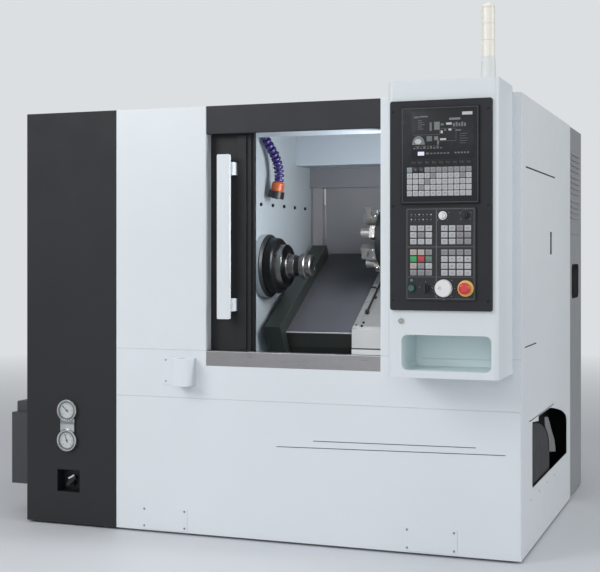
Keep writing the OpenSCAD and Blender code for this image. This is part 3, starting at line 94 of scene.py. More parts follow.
# A material's node tree, with short calls for the nodes used here
class Finish:
    def __init__(self, name):
        self.mat = bpy.data.materials.new(name)
        self.mat.use_nodes = True
        self.tree = self.mat.node_tree
        self.tree.nodes.clear()
        self.out = self.node("OutputMaterial")
        self.bsdf = self.node("BsdfPrincipled")
        self.link(self.bsdf.outputs[0], self.out.inputs[0])
        self.place = self.node("TexCoord").outputs["Object"]

    def node(self, kind, **settings):
        made = self.tree.nodes.new("ShaderNode" + kind)
        for key, value in settings.items():
            setattr(made, key, value)
        return made

    def link(self, a, b):
        self.tree.links.new(a, b)

    # Gives a socket a value, or a link where the value is another node's socket
    def put(self, socket, value):
        if isinstance(value, bpy.types.NodeSocket):
            self.link(value, socket)
        else:
            socket.default_value = value

    def noise(self, scale, detail=3.0, rough=0.5, stretch=(1, 1, 1)):
        mapping, noise = self.node("Mapping"), self.node("TexNoise")
        self.put(mapping.inputs[0], self.place)
        self.put(mapping.inputs["Scale"], stretch)
        self.put(noise.inputs["Vector"], mapping.outputs[0])
        self.put(noise.inputs["Scale"], scale)
        self.put(noise.inputs["Detail"], detail)
        self.put(noise.inputs["Roughness"], rough)
        return noise.outputs["Fac"]

    def spread(self, value, low, high, from_low=0.3, from_high=0.7):
        n = self.node("MapRange")
        for key, given in (("Value", value), ("From Min", from_low), ("From Max", from_high),
                           ("To Min", low), ("To Max", high)):
            self.put(n.inputs[key], given)
        return n.outputs[0]

    def mix(self, amount, a, b):
        n = self.node("Mix", data_type="RGBA")
        self.put(n.inputs[0], amount)
        self.put(n.inputs[6], a)
        self.put(n.inputs[7], b)
        return n.outputs[2]

    def calc(self, kind, a, b=0.0):
        n = self.node("Math", operation=kind)
        self.put(n.inputs[0], a)
        self.put(n.inputs[1], b)
        return n.outputs[0]

    def dot(self, a, b):
        n = self.node("VectorMath", operation="DOT_PRODUCT")
        self.put(n.inputs[0], a)
        self.put(n.inputs[1], b)
        return n.outputs["Value"]

    def axes(self):
        n = self.node("SeparateXYZ")
        self.put(n.inputs[0], self.place)
        return n.outputs

    # A colour that drifts between a lighter and a darker tone
    def clouded(self, cloud, color, lighter, darker):
        return self.mix(self.spread(cloud, 0, 1), shade(color, lighter), shade(color, darker))

    # 1 where every test on an axis of the row frame holds, and 0 elsewhere
    def inside(self, tests):
        axes = self.axes()
        value = 1.0
        for axis, kind, limit in tests:
            value = self.calc("MULTIPLY", self.calc(kind, axes[axis], limit), value)
        return value

    def rounded(self, radius):
        n = self.node("Bevel", samples=4)
        self.put(n.inputs["Radius"], radius)
        return n.outputs[0]

    # Rounded edges, then fine relief over them
    def relief(self, radius, layers):
        normal = self.rounded(radius)
        for height, distance in layers:
            bump = self.node("Bump")
            for key, given in (("Strength", 1.0), ("Distance", distance), ("Height", height),
                               ("Normal", normal)):
                self.put(bump.inputs[key], given)
            normal = bump.outputs[0]
        self.put(self.bsdf.inputs["Normal"], normal)

    # How far the rounded normal leaves the flat one: strong along edges
    def edges(self, radius, low=0.02, high=0.25):
        flat = self.node("NewGeometry").outputs["Normal"]
        away = self.calc("SUBTRACT", 1.0, self.dot(self.rounded(radius), flat))
        return self.spread(away, 0.0, 1.0, low, high)

    def set(self, **values):
        for key, value in values.items():
            self.put(self.bsdf.inputs[key.replace("_", " ")], value)
        return self


# Zones of a finish. Each is a colour and a function that gives its amount in the node tree.
OPEN = (None, None)


# A box with limits in millimetres, open where none is given
def box_zone(color, x=OPEN, y=OPEN, z=OPEN):
    low, high = (at(*(limits[side] or 0 for limits in (x, y, z))) for side in (0, 1))
    tests = []
    for axis, limits in enumerate((x, y, z)):
        if limits[0] is not None:
            tests.append((axis, "GREATER_THAN", low[axis]))
        if limits[1] is not None:
            tests.append((axis, "LESS_THAN", high[axis]))
    return color, lambda f: f.inside(tests)


# What lies beyond a plane through a point, along its normal
def past_zone(color, normal, point):
    limit = point.dot(Vector(normal))
    return color, lambda f: f.calc("GREATER_THAN", f.dot(f.place, normal), limit)


# From nothing at one point to the whole at another, along a direction
def fade_zone(color, normal, start, end):
    first, last = start.dot(Vector(normal)), end.dot(Vector(normal))
    return color, lambda f: f.spread(f.dot(f.place, normal), 0.0, 1.0, first, last)


# Painted or powder-coated sheet: faint cloudiness, orange peel, and a painted highlight that
# lightens the edges
def coat(name, color, rough=0.4, vary=0.035, peel=0.00005, peel_scale=420, bevel=0.0015,
         edge=None, metallic=0.0, gloss=0.5, zones=()):
    f = Finish(name)
    cloud = f.noise(1.7, 4, 0.55)
    base = f.clouded(cloud, lin(color), 1 + vary, 1 - vary)
    for zone_color, amount in zones:
        base = f.mix(amount(f), base, f.clouded(cloud, lin(zone_color), 1 + vary, 1 - vary))
    # Painted highlight: the edges are painted lighter
    if edge:
        base = f.mix(f.edges(bevel), base, lin(edge))
    f.set(Base_Color=base, Metallic=metallic, Specular_IOR_Level=gloss,
          Roughness=f.spread(f.noise(9, 3, 0.6), rough - 0.05, rough + 0.05))
    f.relief(bevel, [(f.noise(peel_scale, 2, 0.5), peel), (f.noise(6, 2), 0.0004)])
    return f.mat


# Machined, ground or brushed metal: fine lines along one direction
def metal(name, color, rough=0.3, lines=(1, 1, 1), line_scale=300, depth=0.00003, vary=0.12,
          bevel=0.0008, metallic=1.0, edge=None, zones=()):
    f = Finish(name)
    c = lin(color)
    grain = f.noise(line_scale, 3, 0.6, stretch=lines)
    cloud = f.noise(14, 4, 0.6)
    base = f.clouded(cloud, c, 1 + vary * 0.6, 1 - vary)
    base = f.mix(f.spread(grain, 0, 0.35), base, shade(c, 0.72))
    for zone_color, amount in zones:
        base = f.mix(amount(f), base, lin(zone_color))
    # Painted highlight: the edges are painted brighter
    if edge:
        base = f.mix(f.edges(bevel), base, lin(edge))
    rough_map = f.calc("ADD", f.spread(grain, -0.07, 0.07),
                       f.spread(cloud, rough - 0.06, rough + 0.08))
    f.set(Base_Color=base, Metallic=metallic, Roughness=rough_map)
    f.relief(bevel, [(grain, depth)])
    return f.mat


# Moulded plastic or rubber: fine leather-like grain
def plastic(name, color, rough=0.42, grain=900, depth=0.00003, vary=0.05, bevel=0.0006,
            coat_weight=0.0, gloss=0.5, zones=()):
    f = Finish(name)
    base = f.clouded(f.noise(40, 3), lin(color), 1 + vary, 1 - vary)
    for zone_color, amount in zones:
        base = f.mix(amount(f), base, lin(zone_color))
    f.set(Base_Color=base, Roughness=f.spread(f.noise(70, 2), rough - 0.05, rough + 0.06),
          Coat_Weight=coat_weight, Coat_Roughness=0.12, Specular_IOR_Level=gloss)
    f.relief(bevel, [(f.noise(grain, 3, 0.6), depth)])
    return f.mat


# A lit mark on the screen
def glow(name, color, strength):
    f = Finish(name)
    c = lin(color)
    f.set(Base_Color=shade(c, 0.5), Roughness=0.3, Emission_Strength=strength,
          Emission_Color=f.clouded(f.noise(180, 2), c, 1.0, 0.85))
    return f.mat


# Clear sheet with a faint tint between two colours
def clear(name, scale, tint_a, tint_b, **values):
    f = Finish(name)
    tint = f.mix(f.spread(f.noise(scale), 0, 1), lin(tint_a), lin(tint_b))
    return f.set(Base_Color=tint, **values)


white = coat("white_powder_coat", "DADFE2", 0.38, 0.02, edge="ECEFF1")
side_white = coat("side_powder_coat", "D6DADC", 0.4, 0.02, edge="E6E9EA")
# Painted shade in the latch recess and under the drip strip, and the colour of the side's bolt
# heads
side_shade_and_bolts = coat("side_shade_and_bolt_coat", "54585B", 0.5, 0.05, edge="7A7E80", gloss=0.3)
# The tray pocket's inside is painted lighter than the box: painted light in the pocket's shade
box_white = coat("control_box_coat", "D5DBDD", 0.38, 0.02, edge="ECEFF0", zones=[
    box_zone("E0EDEE", (1690, 2012), (-259.5, -60.5), (708, 836))])
charcoal = coat("charcoal_textured_coat", "28292B", 0.58, 0.07, peel=0.00012, peel_scale=520,
                edge="45464A", gloss=0.28)
header_coat = coat("header_coat", "2D2E31", 0.52, 0.06, peel=0.00012, peel_scale=520,
                   edge="515257", gloss=0.3)
# The door's rubber edge is part of its frame, right of this x
door_black = coat("door_coat", "181A1B", 0.45, 0.07, peel=0.0001, peel_scale=520, edge="343638",
                  gloss=0.35, zones=[box_zone("0C0D0E", (992.6, None), (0, None), (0, None))])
# The chamber's back wall and the strip of it behind the gap are painted darker than the liner's
# sides, partly their own grey and partly painted shade; the right wall's corner strip by the back
# wall is painted shade
GAP_X = 875.4
liner_mat = coat("liner_coat", "A0A9AE", 0.42, 0.04, edge="BFC8CE", zones=[
    box_zone("858486", (GAP_X, None), (1076, None)),
    box_zone("76777A", (GAP_X, None), (1088, None))])
# The hood's face set back under its step is painted darker: painted shade
hood_mat = coat("hood_coat", "A3ADB4", 0.42, 0.03, edge="C2CBCF", zones=[
    box_zone("6E7175", y=(1057, None))])
cast_mat = coat("cast_paint", "5F6468", 0.5, 0.08, peel=0.0002, peel_scale=160, edge="8A8E90")
# Painted light on the way cover: a painted highlight along the fold at its front edge, painted
# shade in the drop below it, darker at its foot, and painted shade darkening it up the slope
COVER_TOP = -235
FOLD_Y, FOLD_Z = on_slope(-155, COVER_TOP)
cover_mat = coat("way_cover_steel", "515257", 0.36, 0.08, peel=0.00004, peel_scale=300,
                 edge="8A8C91", metallic=0.2, zones=[
    fade_zone("3F4143", SLOPE_UP,
              at(0, *on_slope(60, COVER_TOP)), at(0, *on_slope(430, COVER_TOP))),
    box_zone("B9BBBE", y=(None, FOLD_Y + 4), z=(FOLD_Z - 3, FOLD_Z + 3)),
    box_zone("2E302A", y=(None, FOLD_Y + 120), z=(None, FOLD_Z - 3)),
    box_zone("1C1E1A", y=(None, FOLD_Y + 120), z=(None, 722))])
curb_mat = coat("curb_coat", "2A302D", 0.4, 0.14, peel=0.00015, peel_scale=260, edge="6A706C",
                gloss=0.45)
cabinet_mat = coat("cabinet_coat", "8A8C8E", 0.45, 0.04, edge="A4A6A8")
service_mat = coat("service_box_coat", "424447", 0.5, 0.06, peel=0.0001, edge="606366", gloss=0.35)
# The sill's raised front lip catches the light
stainless = metal("brushed_stainless", "A7A5A6", 0.34, (0.02, 1, 1), 420, 0.00003, zones=[
    box_zone("E9E7E4", y=(None, 6), z=(732.6, None))])
# The saddle cover's apron is painted lighter and its lower steps lighter still, a painted
# highlight, and the dark gaps between them are painted shadow
APRON = (None, 441)
saddle_steel = metal("saddle_cover_steel", "A9AAA9", 0.4, (1, 0.03, 1), 380, 0.00002,
                     metallic=0.7, zones=[
    box_zone("C9CAC9", y=APRON), box_zone("DCDCDA", y=APRON, z=(None, 724.5)),
    box_zone("3C3D3D", y=APRON, z=(723.5, 728.5)),
    box_zone("3C3D3D", y=APRON, z=(698.5, 702.5))])
zinc = metal("zinc_plate", "9C9D9B", 0.42, (0.05, 1, 1), 260)
bright = metal("turned_steel", "B4B2AE", 0.27, (1, 0.08, 0.08), 700, 0.00004, edge="E6E4DF")
holder_steel = metal("holder_steel", "B2B1AD", 0.33, (1, 1, 0.1), 420, 0.00004, edge="E4E2DC")
oxide = metal("black_oxide", "1B1D1E", 0.38, (1, 0.2, 0.2), 400, 0.00003, metallic=0.6,
              edge="505254")
disc_steel = metal("turret_steel", "1E2122", 0.36, (0.1, 1, 1), 500, 0.00004, metallic=0.6,
                   edge="6E7274")
# The headstock's flange is in the liner's colour, and its nose is dark
headstock_mat = coat("headstock_paint", "5F6468", 0.5, 0.08, peel=0.0002, peel_scale=160,
                     edge="7E8284", zones=[box_zone("9FA8AD", (874.6, None)),
                                           box_zone("151718", (904, None))])
# Dark rings on the chuck
chuck_steel = metal("chuck_steel", "9A9895", 0.34, (0.06, 1, 1), 260, 0.000004, vary=0.06,
                    edge="D0CEC9", zones=[box_zone("2A2C2D", (986, 994)),
                                          box_zone("4A4B4B", (1026, 1049))])
rubber = plastic("rubber_black", "17181A", 0.6, 700, 0.00006)
black_plastic = plastic("black_plastic", "1A1C1E", 0.42, gloss=0.4)
panel_black = plastic("panel_film", "202225", 0.45, 1100, 0.00002, gloss=0.35)
plate_mat = coat("plate_coat", "252629", 0.52, 0.05, peel=0.0001, peel_scale=600,
                 edge="4A4B4E", gloss=0.25)
unit_mat = plastic("display_bezel", "1F2023", 0.5, 1000, 0.00003, gloss=0.25)
screen_mat = plastic("screen_glass", "191A1D", 0.45, 300, 0.0, gloss=0.3)
motor_mat = coat("motor_paint", "2E3134", 0.5, 0.06, peel=0.00015, edge="4A4D50")
cream = plastic("lens_cream", "E6E2D6", 0.3, 400, 0.00002, vary=0.02, coat_weight=0.3)
lamp_grey = plastic("lamp_base_plastic", "D5D8D6", 0.4, 600, 0.00003, vary=0.02)
wheel_mat = plastic("ivory_plastic", "DCDCDB", 0.36, 700, 0.00002, vary=0.02)
red_mat = plastic("red_plastic", "C3222B", 0.3, 600, 0.00002, coat_weight=0.3)
yellow_mat = plastic("yellow_plastic", "E2B055", 0.4, 600, 0.00002)
green_mat = plastic("green_plastic", "235A48", 0.32, 600, 0.00002, coat_weight=0.3)
purple = plastic("violet_hose", "2B2060", 0.4, 300, 0.00006, vary=0.1, bevel=0.0012)
# The nozzle is orange above its black collar
NOZZLE_TILT = math.radians(12)
NOZZLE_DOWN = (-math.sin(NOZZLE_TILT), 0.0, -math.cos(NOZZLE_TILT))
NOZZLE_TOP, COLLAR_FROM = (935, 500, 1426), 39
nozzle_mat = plastic("orange_collar", "A04A20", 0.42, 300, 0.00004, vary=0.15, zones=[
    past_zone("121315", NOZZLE_DOWN,
              at(*(p + COLLAR_FROM * d for p, d in zip(NOZZLE_TOP, NOZZLE_DOWN))))])
chrome = metal("chrome", "C9CBCC", 0.14, (1, 1, 1), 200, 0.000004, vary=0.04)


# Puts one finish on every slot of the named solids
def dress(finish, *names):
    for name in names:
        data = nodes[name].data
        if not data.materials:
            data.materials.append(finish)
        for i in range(len(data.materials)):
            data.materials[i] = finish


dress(cast_mat, "base_casting", "saddle", "cross_slide")
dress(rubber, "levelling_feet", "drive_belt")
dress(zinc, "guide_rails", "door_track", "spindle_bearings")
dress(headstock_mat, "headstock")
dress(motor_mat, "spindle_motor")
dress(oxide, "spindle")
dress(chuck_steel, "collet_chuck")
dress(bright, "motor_pulley", "ball_screw", "key_switch")
dress(charcoal, "end_column")
dress(white, "front_panel", "skirt_panel", "rear_roof_cover", "gun_holster", "door_handle")
dress(side_white, "right_side_panel")
dress(header_coat, "header_panel")
dress(stainless, "door_sill")
dress(liner_mat, "chamber_liner")
dress(hood_mat, "chamber_hood")
dress(motor_mat, "coolant_tank")
dress(curb_mat, "bed_shield")
dress(cover_mat, "way_cover")
dress(saddle_steel, "saddle_cover")
dress(service_mat, "service_box")
dress(box_white, "control_box")
dress(plate_mat, "control_plate")
dress(unit_mat, "display_unit")
dress(screen_mat, "display_screen")
dress(panel_black, "operator_panel")
dress(lamp_grey, "tower_base")
dress(cream, "tower_lens")
dress(chrome, "gauge_cases")
dress(black_plastic, "switch_housing", "spindle_knob", "axis_selector", "switch_lever")
dress(cabinet_mat, "cabinet_shell", "cabinet_door")
dress(black_plastic, "cabinet_latch")
dress(purple, "coolant_hose")
dress(nozzle_mat, "hose_nozzle")
dress(door_black, "door_frame")
dress(disc_steel, "turret_disc")
dress(holder_steel, "tool_holders")
dress(wheel_mat, "handwheel", "feed_knob")
dress(red_mat, "estop_button")
dress(green_mat, "start_button")
dress(black_plastic, "upper_needle", "lower_needle")

glass = clear("window_glass", 3, "9FB0B6", "8FA2A9", Alpha=0.28, IOR=1.45)
glass.set(Roughness=glass.spread(glass.noise(30, 3), 0.02, 0.09))
dress(glass.mat, "door_glass")


# Whether a loop of points goes round a place
def within(loop, a, b):
    odd = False
    for (p, q), (r, s) in zip(loop, loop[1:] + loop[:1]):
        if (q > b) != (s > b) and a < p + (r - p) * (b - q) / (s - q):
            odd = not odd
    return odd


# A rectangle, and points of an arc, in two coordinates
def rect(a0, b0, a1, b1):
    return [(a0, b0), (a1, b0), (a1, b1), (a0, b1)]


def bend(ca, cb, r, first, last, steps):
    return [(ca + r * math.cos(t), cb + r * math.sin(t))
            for t in (math.radians(first + (last - first) * k / steps) for k in range(steps + 1))]


SMOOTH_BELOW = math.radians(35)


# One piece of the scene, built from simple forms in one mesh with several finishes
class Piece:
    def __init__(self, name, body, *finishes):
        self.name, self.body, self.finishes = name, body, finishes
        self.bm = bmesh.new()
        self.index = 0

    # Picks the finish of the forms that follow
    def use(self, index):
        self.index = index
        return self

    def vert(self, place):
        return self.bm.verts.new(place)

    def paint(self, faces):
        for f in faces:
            f.material_index = self.index
        return self

    # Faces from lists of corners, and walls between two rings of as many corners
    def faces(self, corner_lists):
        return [self.bm.faces.new(corners) for corners in corner_lists]

    def walls(self, low, high):
        n = len(low)
        return self.faces([low[i], low[(i + 1) % n], high[(i + 1) % n], high[i]] for i in range(n))

    def box(self, a, b, r=0.0):
        made = bmesh.ops.create_cube(self.bm, size=1.0)["verts"]
        a, b = at(*a), at(*b)
        mid, size = (a + b) / 2, b - a
        for v in made:
            v.co = Vector((v.co.x * size.x, v.co.y * size.y, v.co.z * size.z))
        faces = list({f for v in made for f in v.link_faces})
        if r > 0:
            edges = list({e for v in made for e in v.link_edges})
            out = bmesh.ops.bevel(self.bm, geom=edges, offset=r / 1000, segments=2,
                                  affect="EDGES", profile=0.5)
            made = list({v for f in out["faces"] for v in f.verts})
            faces = list({f for v in made for f in v.link_faces})
        for v in made:
            v.co += mid
        return self.paint(faces)

    # A turned form: profile of (station, radius) in mm along an axis from a point
    def turned(self, origin, axis, profile, sides=32):
        axis = Vector(axis).normalized()
        side = axis.orthogonal().normalized()
        up = axis.cross(side)
        rings = []
        for station, r in profile:
            mid = at(*origin) + axis * (station / 1000)
            if r <= 1e-6:
                rings.append([self.vert(mid)])
                continue
            angles = (i * 2 * math.pi / sides for i in range(sides))
            rings.append([self.vert(mid + (side * math.cos(t) + up * math.sin(t)) * (r / 1000))
                          for t in angles])
        faces = []
        for p, q in zip(rings, rings[1:]):
            for i in range(sides):
                j = (i + 1) % sides
                ring = [p[i % len(p)], p[j % len(p)], q[j % len(q)], q[i % len(q)]]
                ring = [v for k, v in enumerate(ring) if v not in ring[:k]]
                if len(ring) > 2:
                    faces.append(self.bm.faces.new(ring))
        return self.paint(faces)

    # A socket screw's head standing out of a face, with its hexagon sunk in
    def screw(self, origin, axis, d, h):
        r = d / 2
        self.turned(origin, axis, [(-0.5, r * 0.96), (h * 0.8, r), (h, r * 0.9), (h, r * 0.52)], 20)
        return self.turned(origin, axis, [(h, r * 0.5), (h * 0.35, r * 0.47), (h * 0.35, 0)], 6)

    # A thin raised line between two points on a plane y
    def line(self, x0, z0, x1, z1, y, w, t=0.3):
        d = Vector((x1 - x0, 0, z1 - z0))
        n = Vector((-d.z, 0, d.x)).normalized() * (w / 2)
        return self.sheet([(x0 + n.x, z0 + n.z), (x1 + n.x, z1 + n.z),
                           (x1 - n.x, z1 - n.z), (x0 - n.x, z0 - n.z)], y, t)

    def frame(self, x0, z0, x1, z1, y, w, t=0.3):
        for ends in ((x0, z0, x1, z0), (x0, z1, x1, z1), (x0, z0 + w / 2, x0, z1 - w / 2),
                     (x1, z0 + w / 2, x1, z1 - w / 2)):
            self.line(*ends, y, w, t)
        return self

    # A thin flat shape of any outline that faces the front
    def sheet(self, loop, y, t=0.3):
        front, back = ([self.vert(at(x, place, z)) for x, z in loop] for place in (y - t, y + 0.05))
        return self.paint(self.faces([front, back[::-1]]) + self.walls(back, front))

    # A sheet that faces the right side: an outline in (y, z), with holes, between two values of x
    def side_sheet(self, x0, x1, outline, *holes):
        loops = [outline, *holes]
        spots, bars = [], []
        for loop in loops:
            start, n = len(spots), len(loop)
            spots += [Vector(p) for p in loop]
            bars += [(start + i, start + (i + 1) % n) for i in range(n)]
        spots, _, corner_lists = geometry.delaunay_2d_cdt(spots, bars, [], 0, 1e-5)[:3]
        kept = []
        for corners in corner_lists:
            middle = [sum(spots[i][k] for i in corners) / 3 for k in (0, 1)]
            if sum(within(loop, *middle) for loop in loops) == 1:
                kept.append(corners)
        low, high = ([self.vert(at(x, *p)) for p in spots] for x in (x0, x1))
        faces = self.faces([row[i] for i in corners] for corners in kept for row in (low, high))
        order = {(round(p[0], 2), round(p[1], 2)): i for i, p in enumerate(spots)}
        for loop in loops:
            ids = [order[round(y, 2), round(z, 2)] for y, z in loop]
            faces += self.walls([low[i] for i in ids], [high[i] for i in ids])
        return self.paint(faces)

    # A bent tube along points
    def tube(self, points, d, sides=16):
        pts = [at(*p) for p in points]
        rings = []
        side = None
        for i, p in enumerate(pts):
            t = (pts[min(i + 1, len(pts) - 1)] - pts[max(i - 1, 0)]).normalized()
            side = (t.orthogonal() if side is None else side - t * side.dot(t)).normalized()
            up = t.cross(side)
            rings.append([self.vert(p + (side * math.cos(a) + up * math.sin(a)) * d / 2000)
                          for a in (k * 2 * math.pi / sides for k in range(sides))])
        faces = self.faces([rings[0][::-1], rings[-1]])
        for p, q in zip(rings, rings[1:]):
            faces += self.walls(p, q)
        return self.paint(faces)

    def done(self):
        bmesh.ops.recalc_face_normals(self.bm, faces=self.bm.faces)
        mesh = bpy.data.meshes.new(self.name)
        self.bm.to_mesh(mesh)
        self.bm.free()
        for finish in self.finishes:
            mesh.materials.append(finish)
        for p in mesh.polygons:
            p.use_smooth = True
        mesh.set_sharp_from_angle(angle=SMOOTH_BELOW)
        piece = bpy.data.objects.new(self.name, mesh)
        bpy.context.scene.collection.objects.link(piece)
        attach(piece, self.body)
        return piece


key_light = plastic("key_light_grey", "ABACAE", 0.4, 800, 0.00002, vary=0.03)
key_mid = plastic("key_mid_grey", "858386", 0.42, 800, 0.00002, vary=0.03)
key_slate = plastic("key_slate", "7E8992", 0.42, 800, 0.00002)
key_dark = plastic("key_dark", "1E2022", 0.42, 800, 0.00002)
key_beige = plastic("key_beige", "ADA19A", 0.42, 800, 0.00002)
key_green = plastic("key_green", "2E9A55", 0.38, 800, 0.00002)
key_red = plastic("key_red", "B0303A", 0.38, 800, 0.00002)
key_moss = plastic("key_moss", "58766A", 0.38, 800, 0.00002)
# Dark grey for key legends; the same finish paints the highlight line round the display unit
print_and_bezel_highlight = plastic("print_and_bezel_highlight", "55585C", 0.5, 800, 0.00001)
mark_grey = plastic("mark_grey", "7C7E82", 0.5, 800, 0.00001)
line_grey = plastic("line_grey", "56575B", 0.5, 800, 0.00001)
line_white = plastic("line_white", "C9CCCE", 0.5, 800, 0.00001)


cap_finishes = (key_light, key_mid, key_slate, key_dark, key_green, key_red, key_moss, key_beige,
                print_and_bezel_highlight, mark_grey)
LIGHT, MID, SLATE, DARK, GREEN, RED, MOSS, BEIGE, MARK_DARK, MARK_GREY = range(len(cap_finishes))
CAP_H, MARK_T = 2.5, 0.12

# Front faces, as y in millimetres
UNIT_Y, SCREEN_Y, PANEL_Y, PLATE_Y = -281, -281.3, -279, -270.5


# A field of key caps in front of plane y: each cap's finish comes from tone(column, row)
def caps(piece, x0, x1, z0, z1, y, columns, rows, tone, share=0.84):
    dx, dz = (x1 - x0) / columns, (z1 - z0) / rows
    hx, hz = dx * share / 2, dz * share / 2
    top = y - CAP_H
    for i in range(columns):
        for j in range(rows):
            cx, cz = x0 + (i + 0.5) * dx, z0 + (j + 0.5) * dz
            which = tone(i, rows - 1 - j)
            piece.use(which).box((cx - hx, top, cz - hz), (cx + hx, y, cz + hz), 1.0)
            if which in (GREEN, RED, MOSS):
                continue
            piece.use(MARK_DARK if which in (LIGHT, MID) else MARK_GREY)
            style = random.randrange(4)
            w = hx * (0.35, 0.6, 0.5, 0.3)[style]
            piece.line(cx - w, cz + hz * 0.25, cx + w, cz + hz * 0.25, top, 1.3, MARK_T)
            if style in (1, 2):
                low = cz - hz * 0.2
                piece.line(cx - w * 0.6, low, cx + w * 0.6, low, top, 1.1, MARK_T)
            if style == 3:
                piece.line(cx, cz - hz * 0.3, cx, cz + hz * 0.3, top, 1.2, MARK_T + 0.02)


def keyboard_tone(i, row):
    if row == 0:
        return SLATE if i == 0 else DARK if i in (1, 2) else MID
    return MID if i in (2, 3, 4, 5, 9, 10) and (i + row) % 5 == 0 else LIGHT


keyboard = Piece("keyboard_caps", "machine", *cap_finishes)
caps(keyboard, 1717, 1947, 1316, 1418, UNIT_Y, 11, 5, keyboard_tone, 0.9)
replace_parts(keyboard.done(), "keyboard_keys")

LEFT_ROWS = ((BEIGE, BEIGE, MID), (GREEN, RED, MOSS), (BEIGE, MID, LIGHT), (MID, MID, MID))
operator = Piece("operator_caps", "machine", *cap_finishes)
caps(operator, 1727, 1809, 1040, 1134, PANEL_Y, 3, 4, lambda i, row: LEFT_ROWS[row][i])
caps(operator, 1727, 1809, 1148, 1217, PANEL_Y, 3, 3,
     lambda i, row: MID if (i, row) == (1, 1) else LIGHT)
caps(operator, 1837, 1946, 1040, 1134, PANEL_Y, 4, 4, lambda i, row: LIGHT if row else MID)
caps(operator, 1837, 1946, 1148, 1217, PANEL_Y, 4, 3,
     lambda i, row: LIGHT if i < 2 or (i, row) == (3, 0) else MID)
operator.use(MOSS).turned((1734, PANEL_Y, 1025), FORWARD, [(0, 5), (1.5, 5), (2, 3.5), (2, 0)], 20)
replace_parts(operator.done(), "operator_keys")

# Thin lines and dials printed on the operator panel. A dial's row: its centre, its radius, its
# first and last angle and its number of marks.
dials = Piece("panel_lines", "machine", line_grey, line_white, mark_grey)
dials.frame(1717, 962, 1954, 1272, PANEL_Y, 2.2, 0.25)
dials.line(1822, 964, 1822, 1270, PANEL_Y, 3.2, 0.3)
dials.line(1719, 1141, 1952, 1141, PANEL_Y, 2.6, 0.32)
dials.line(1719, 1037, 1952, 1037, PANEL_Y, 2.0, 0.34)
for cx, cz, r, first, last, count in ((1845, 1249, 21, -130, 130, 13),
                                      (1924, 1249, 19, -130, 130, 13),
                                      (1784, 998, 21, -80, 80, 7), (1848, 998, 37, -180, 165, 24)):
    for i in range(count):
        a = math.radians(first + (last - first) * i / (count - 1))
        s, c = math.sin(a), math.cos(a)
        end = r + (2.2 if i % 3 else 3.4)
        dials.use(2 if i % 3 else 1)
        dials.line(cx + s * r, cz + c * r, cx + s * end, cz + c * end, PANEL_Y, 0.9, 0.25)
# Small status lamps above the left keys
for row in range(2):
    for i in range(6):
        cx, cz = 1733 + i * 14, 1236 + row * 17
        dials.use(2 if (i + row) % 3 else 1)
        dials.turned((cx, PANEL_Y, cz), FORWARD, [(0, 2.2), (0.8, 2), (1, 0)], 12)
        dials.use(0).line(cx - 3.5, cz - 6, cx + 3.5, cz - 6, PANEL_Y, 1.0, 0.2)
dials.done()

# What the screen shows: a generic tool-path preview with lists and soft keys. Places on it are
# shares of its width and height.
screen_finishes = (glow("screen_white", "C4CACC", 0.3), glow("screen_grey", "6C7274", 0.25),
                   glow("screen_dim", "55595D", 0.5), glow("screen_green_grey", "7C857C", 0.2),
                   glow("screen_blue", "DDE0F6", 0.6))
WHITE, GREY, DIM, GREEN_GREY, BLUE = range(len(screen_finishes))
show = Piece("screen_picture", "machine", *screen_finishes)


def on_screen(u, v):
    return 1736 + u * 216, 1448 + v * 162


def mark(u0, v0, u1, v1, tone):
    show.use(tone).sheet(rect(*on_screen(u0, v0), *on_screen(u1, v1)), SCREEN_Y, 0.25)


for row in ((0.82, 0.90, 0.985, 0.965, WHITE), (0.61, 0.80, 0.79, 0.845, GREEN_GREY),
            (0.13, 0.875, 0.26, 0.905, GREY), (0.03, 0.86, 0.12, 0.90, DIM),
            (0.29, 0.58, 0.325, 0.76, GREY), (0.365, 0.60, 0.455, 0.77, GREEN_GREY),
            (0.47, 0.69, 0.52, 0.73, GREY), (0.56, 0.70, 0.65, 0.745, WHITE),
            (0.47, 0.52, 0.505, 0.58, WHITE), (0.53, 0.57, 0.56, 0.61, GREY),
            (0.60, 0.575, 0.645, 0.615, WHITE), (0.71, 0.565, 0.80, 0.59, GREY),
            (0.46, 0.375, 0.56, 0.415, WHITE), (0.24, 0.36, 0.33, 0.47, GREY),
            (0.365, 0.38, 0.43, 0.46, GREEN_GREY), (0.415, 0.28, 0.44, 0.375, GREEN_GREY),
            (0.095, 0.06, 0.20, 0.14, BLUE), (0.23, 0.08, 0.28, 0.12, DIM)):
    mark(*row)
for i in range(5):
    u, v = 0.045 * i, 0.05 * i
    mark(0.10, 0.80 - u, 0.16 + 0.025 * (i * 7 % 3), 0.815 - u, DIM)
    mark(0.67 + u, 0.66, 0.70 + u, 0.73 + 0.02 * (i % 2), GREY)
    mark(0.70 + v, 0.085, 0.73 + v, 0.12, GREY if i < 3 else DIM)
    mark(0.78, 0.30 + v, 0.88 + 0.02 * (i % 3), 0.308 + v, DIM)
for i in range(9):
    u = 0.055 * i
    mark(0.02 + u, 0.20, 0.055 + u, 0.225 + 0.03 * (i % 2), DIM if i % 3 else GREY)
    if i < 8:
        mark(0.05 + 0.05 * i, 0.25, 0.08 + 0.05 * i, 0.262, GREY if i % 2 else DIM)
    if i < 6:
        mark(0.30 + u, 0.085, 0.335 + u, 0.115, DIM)
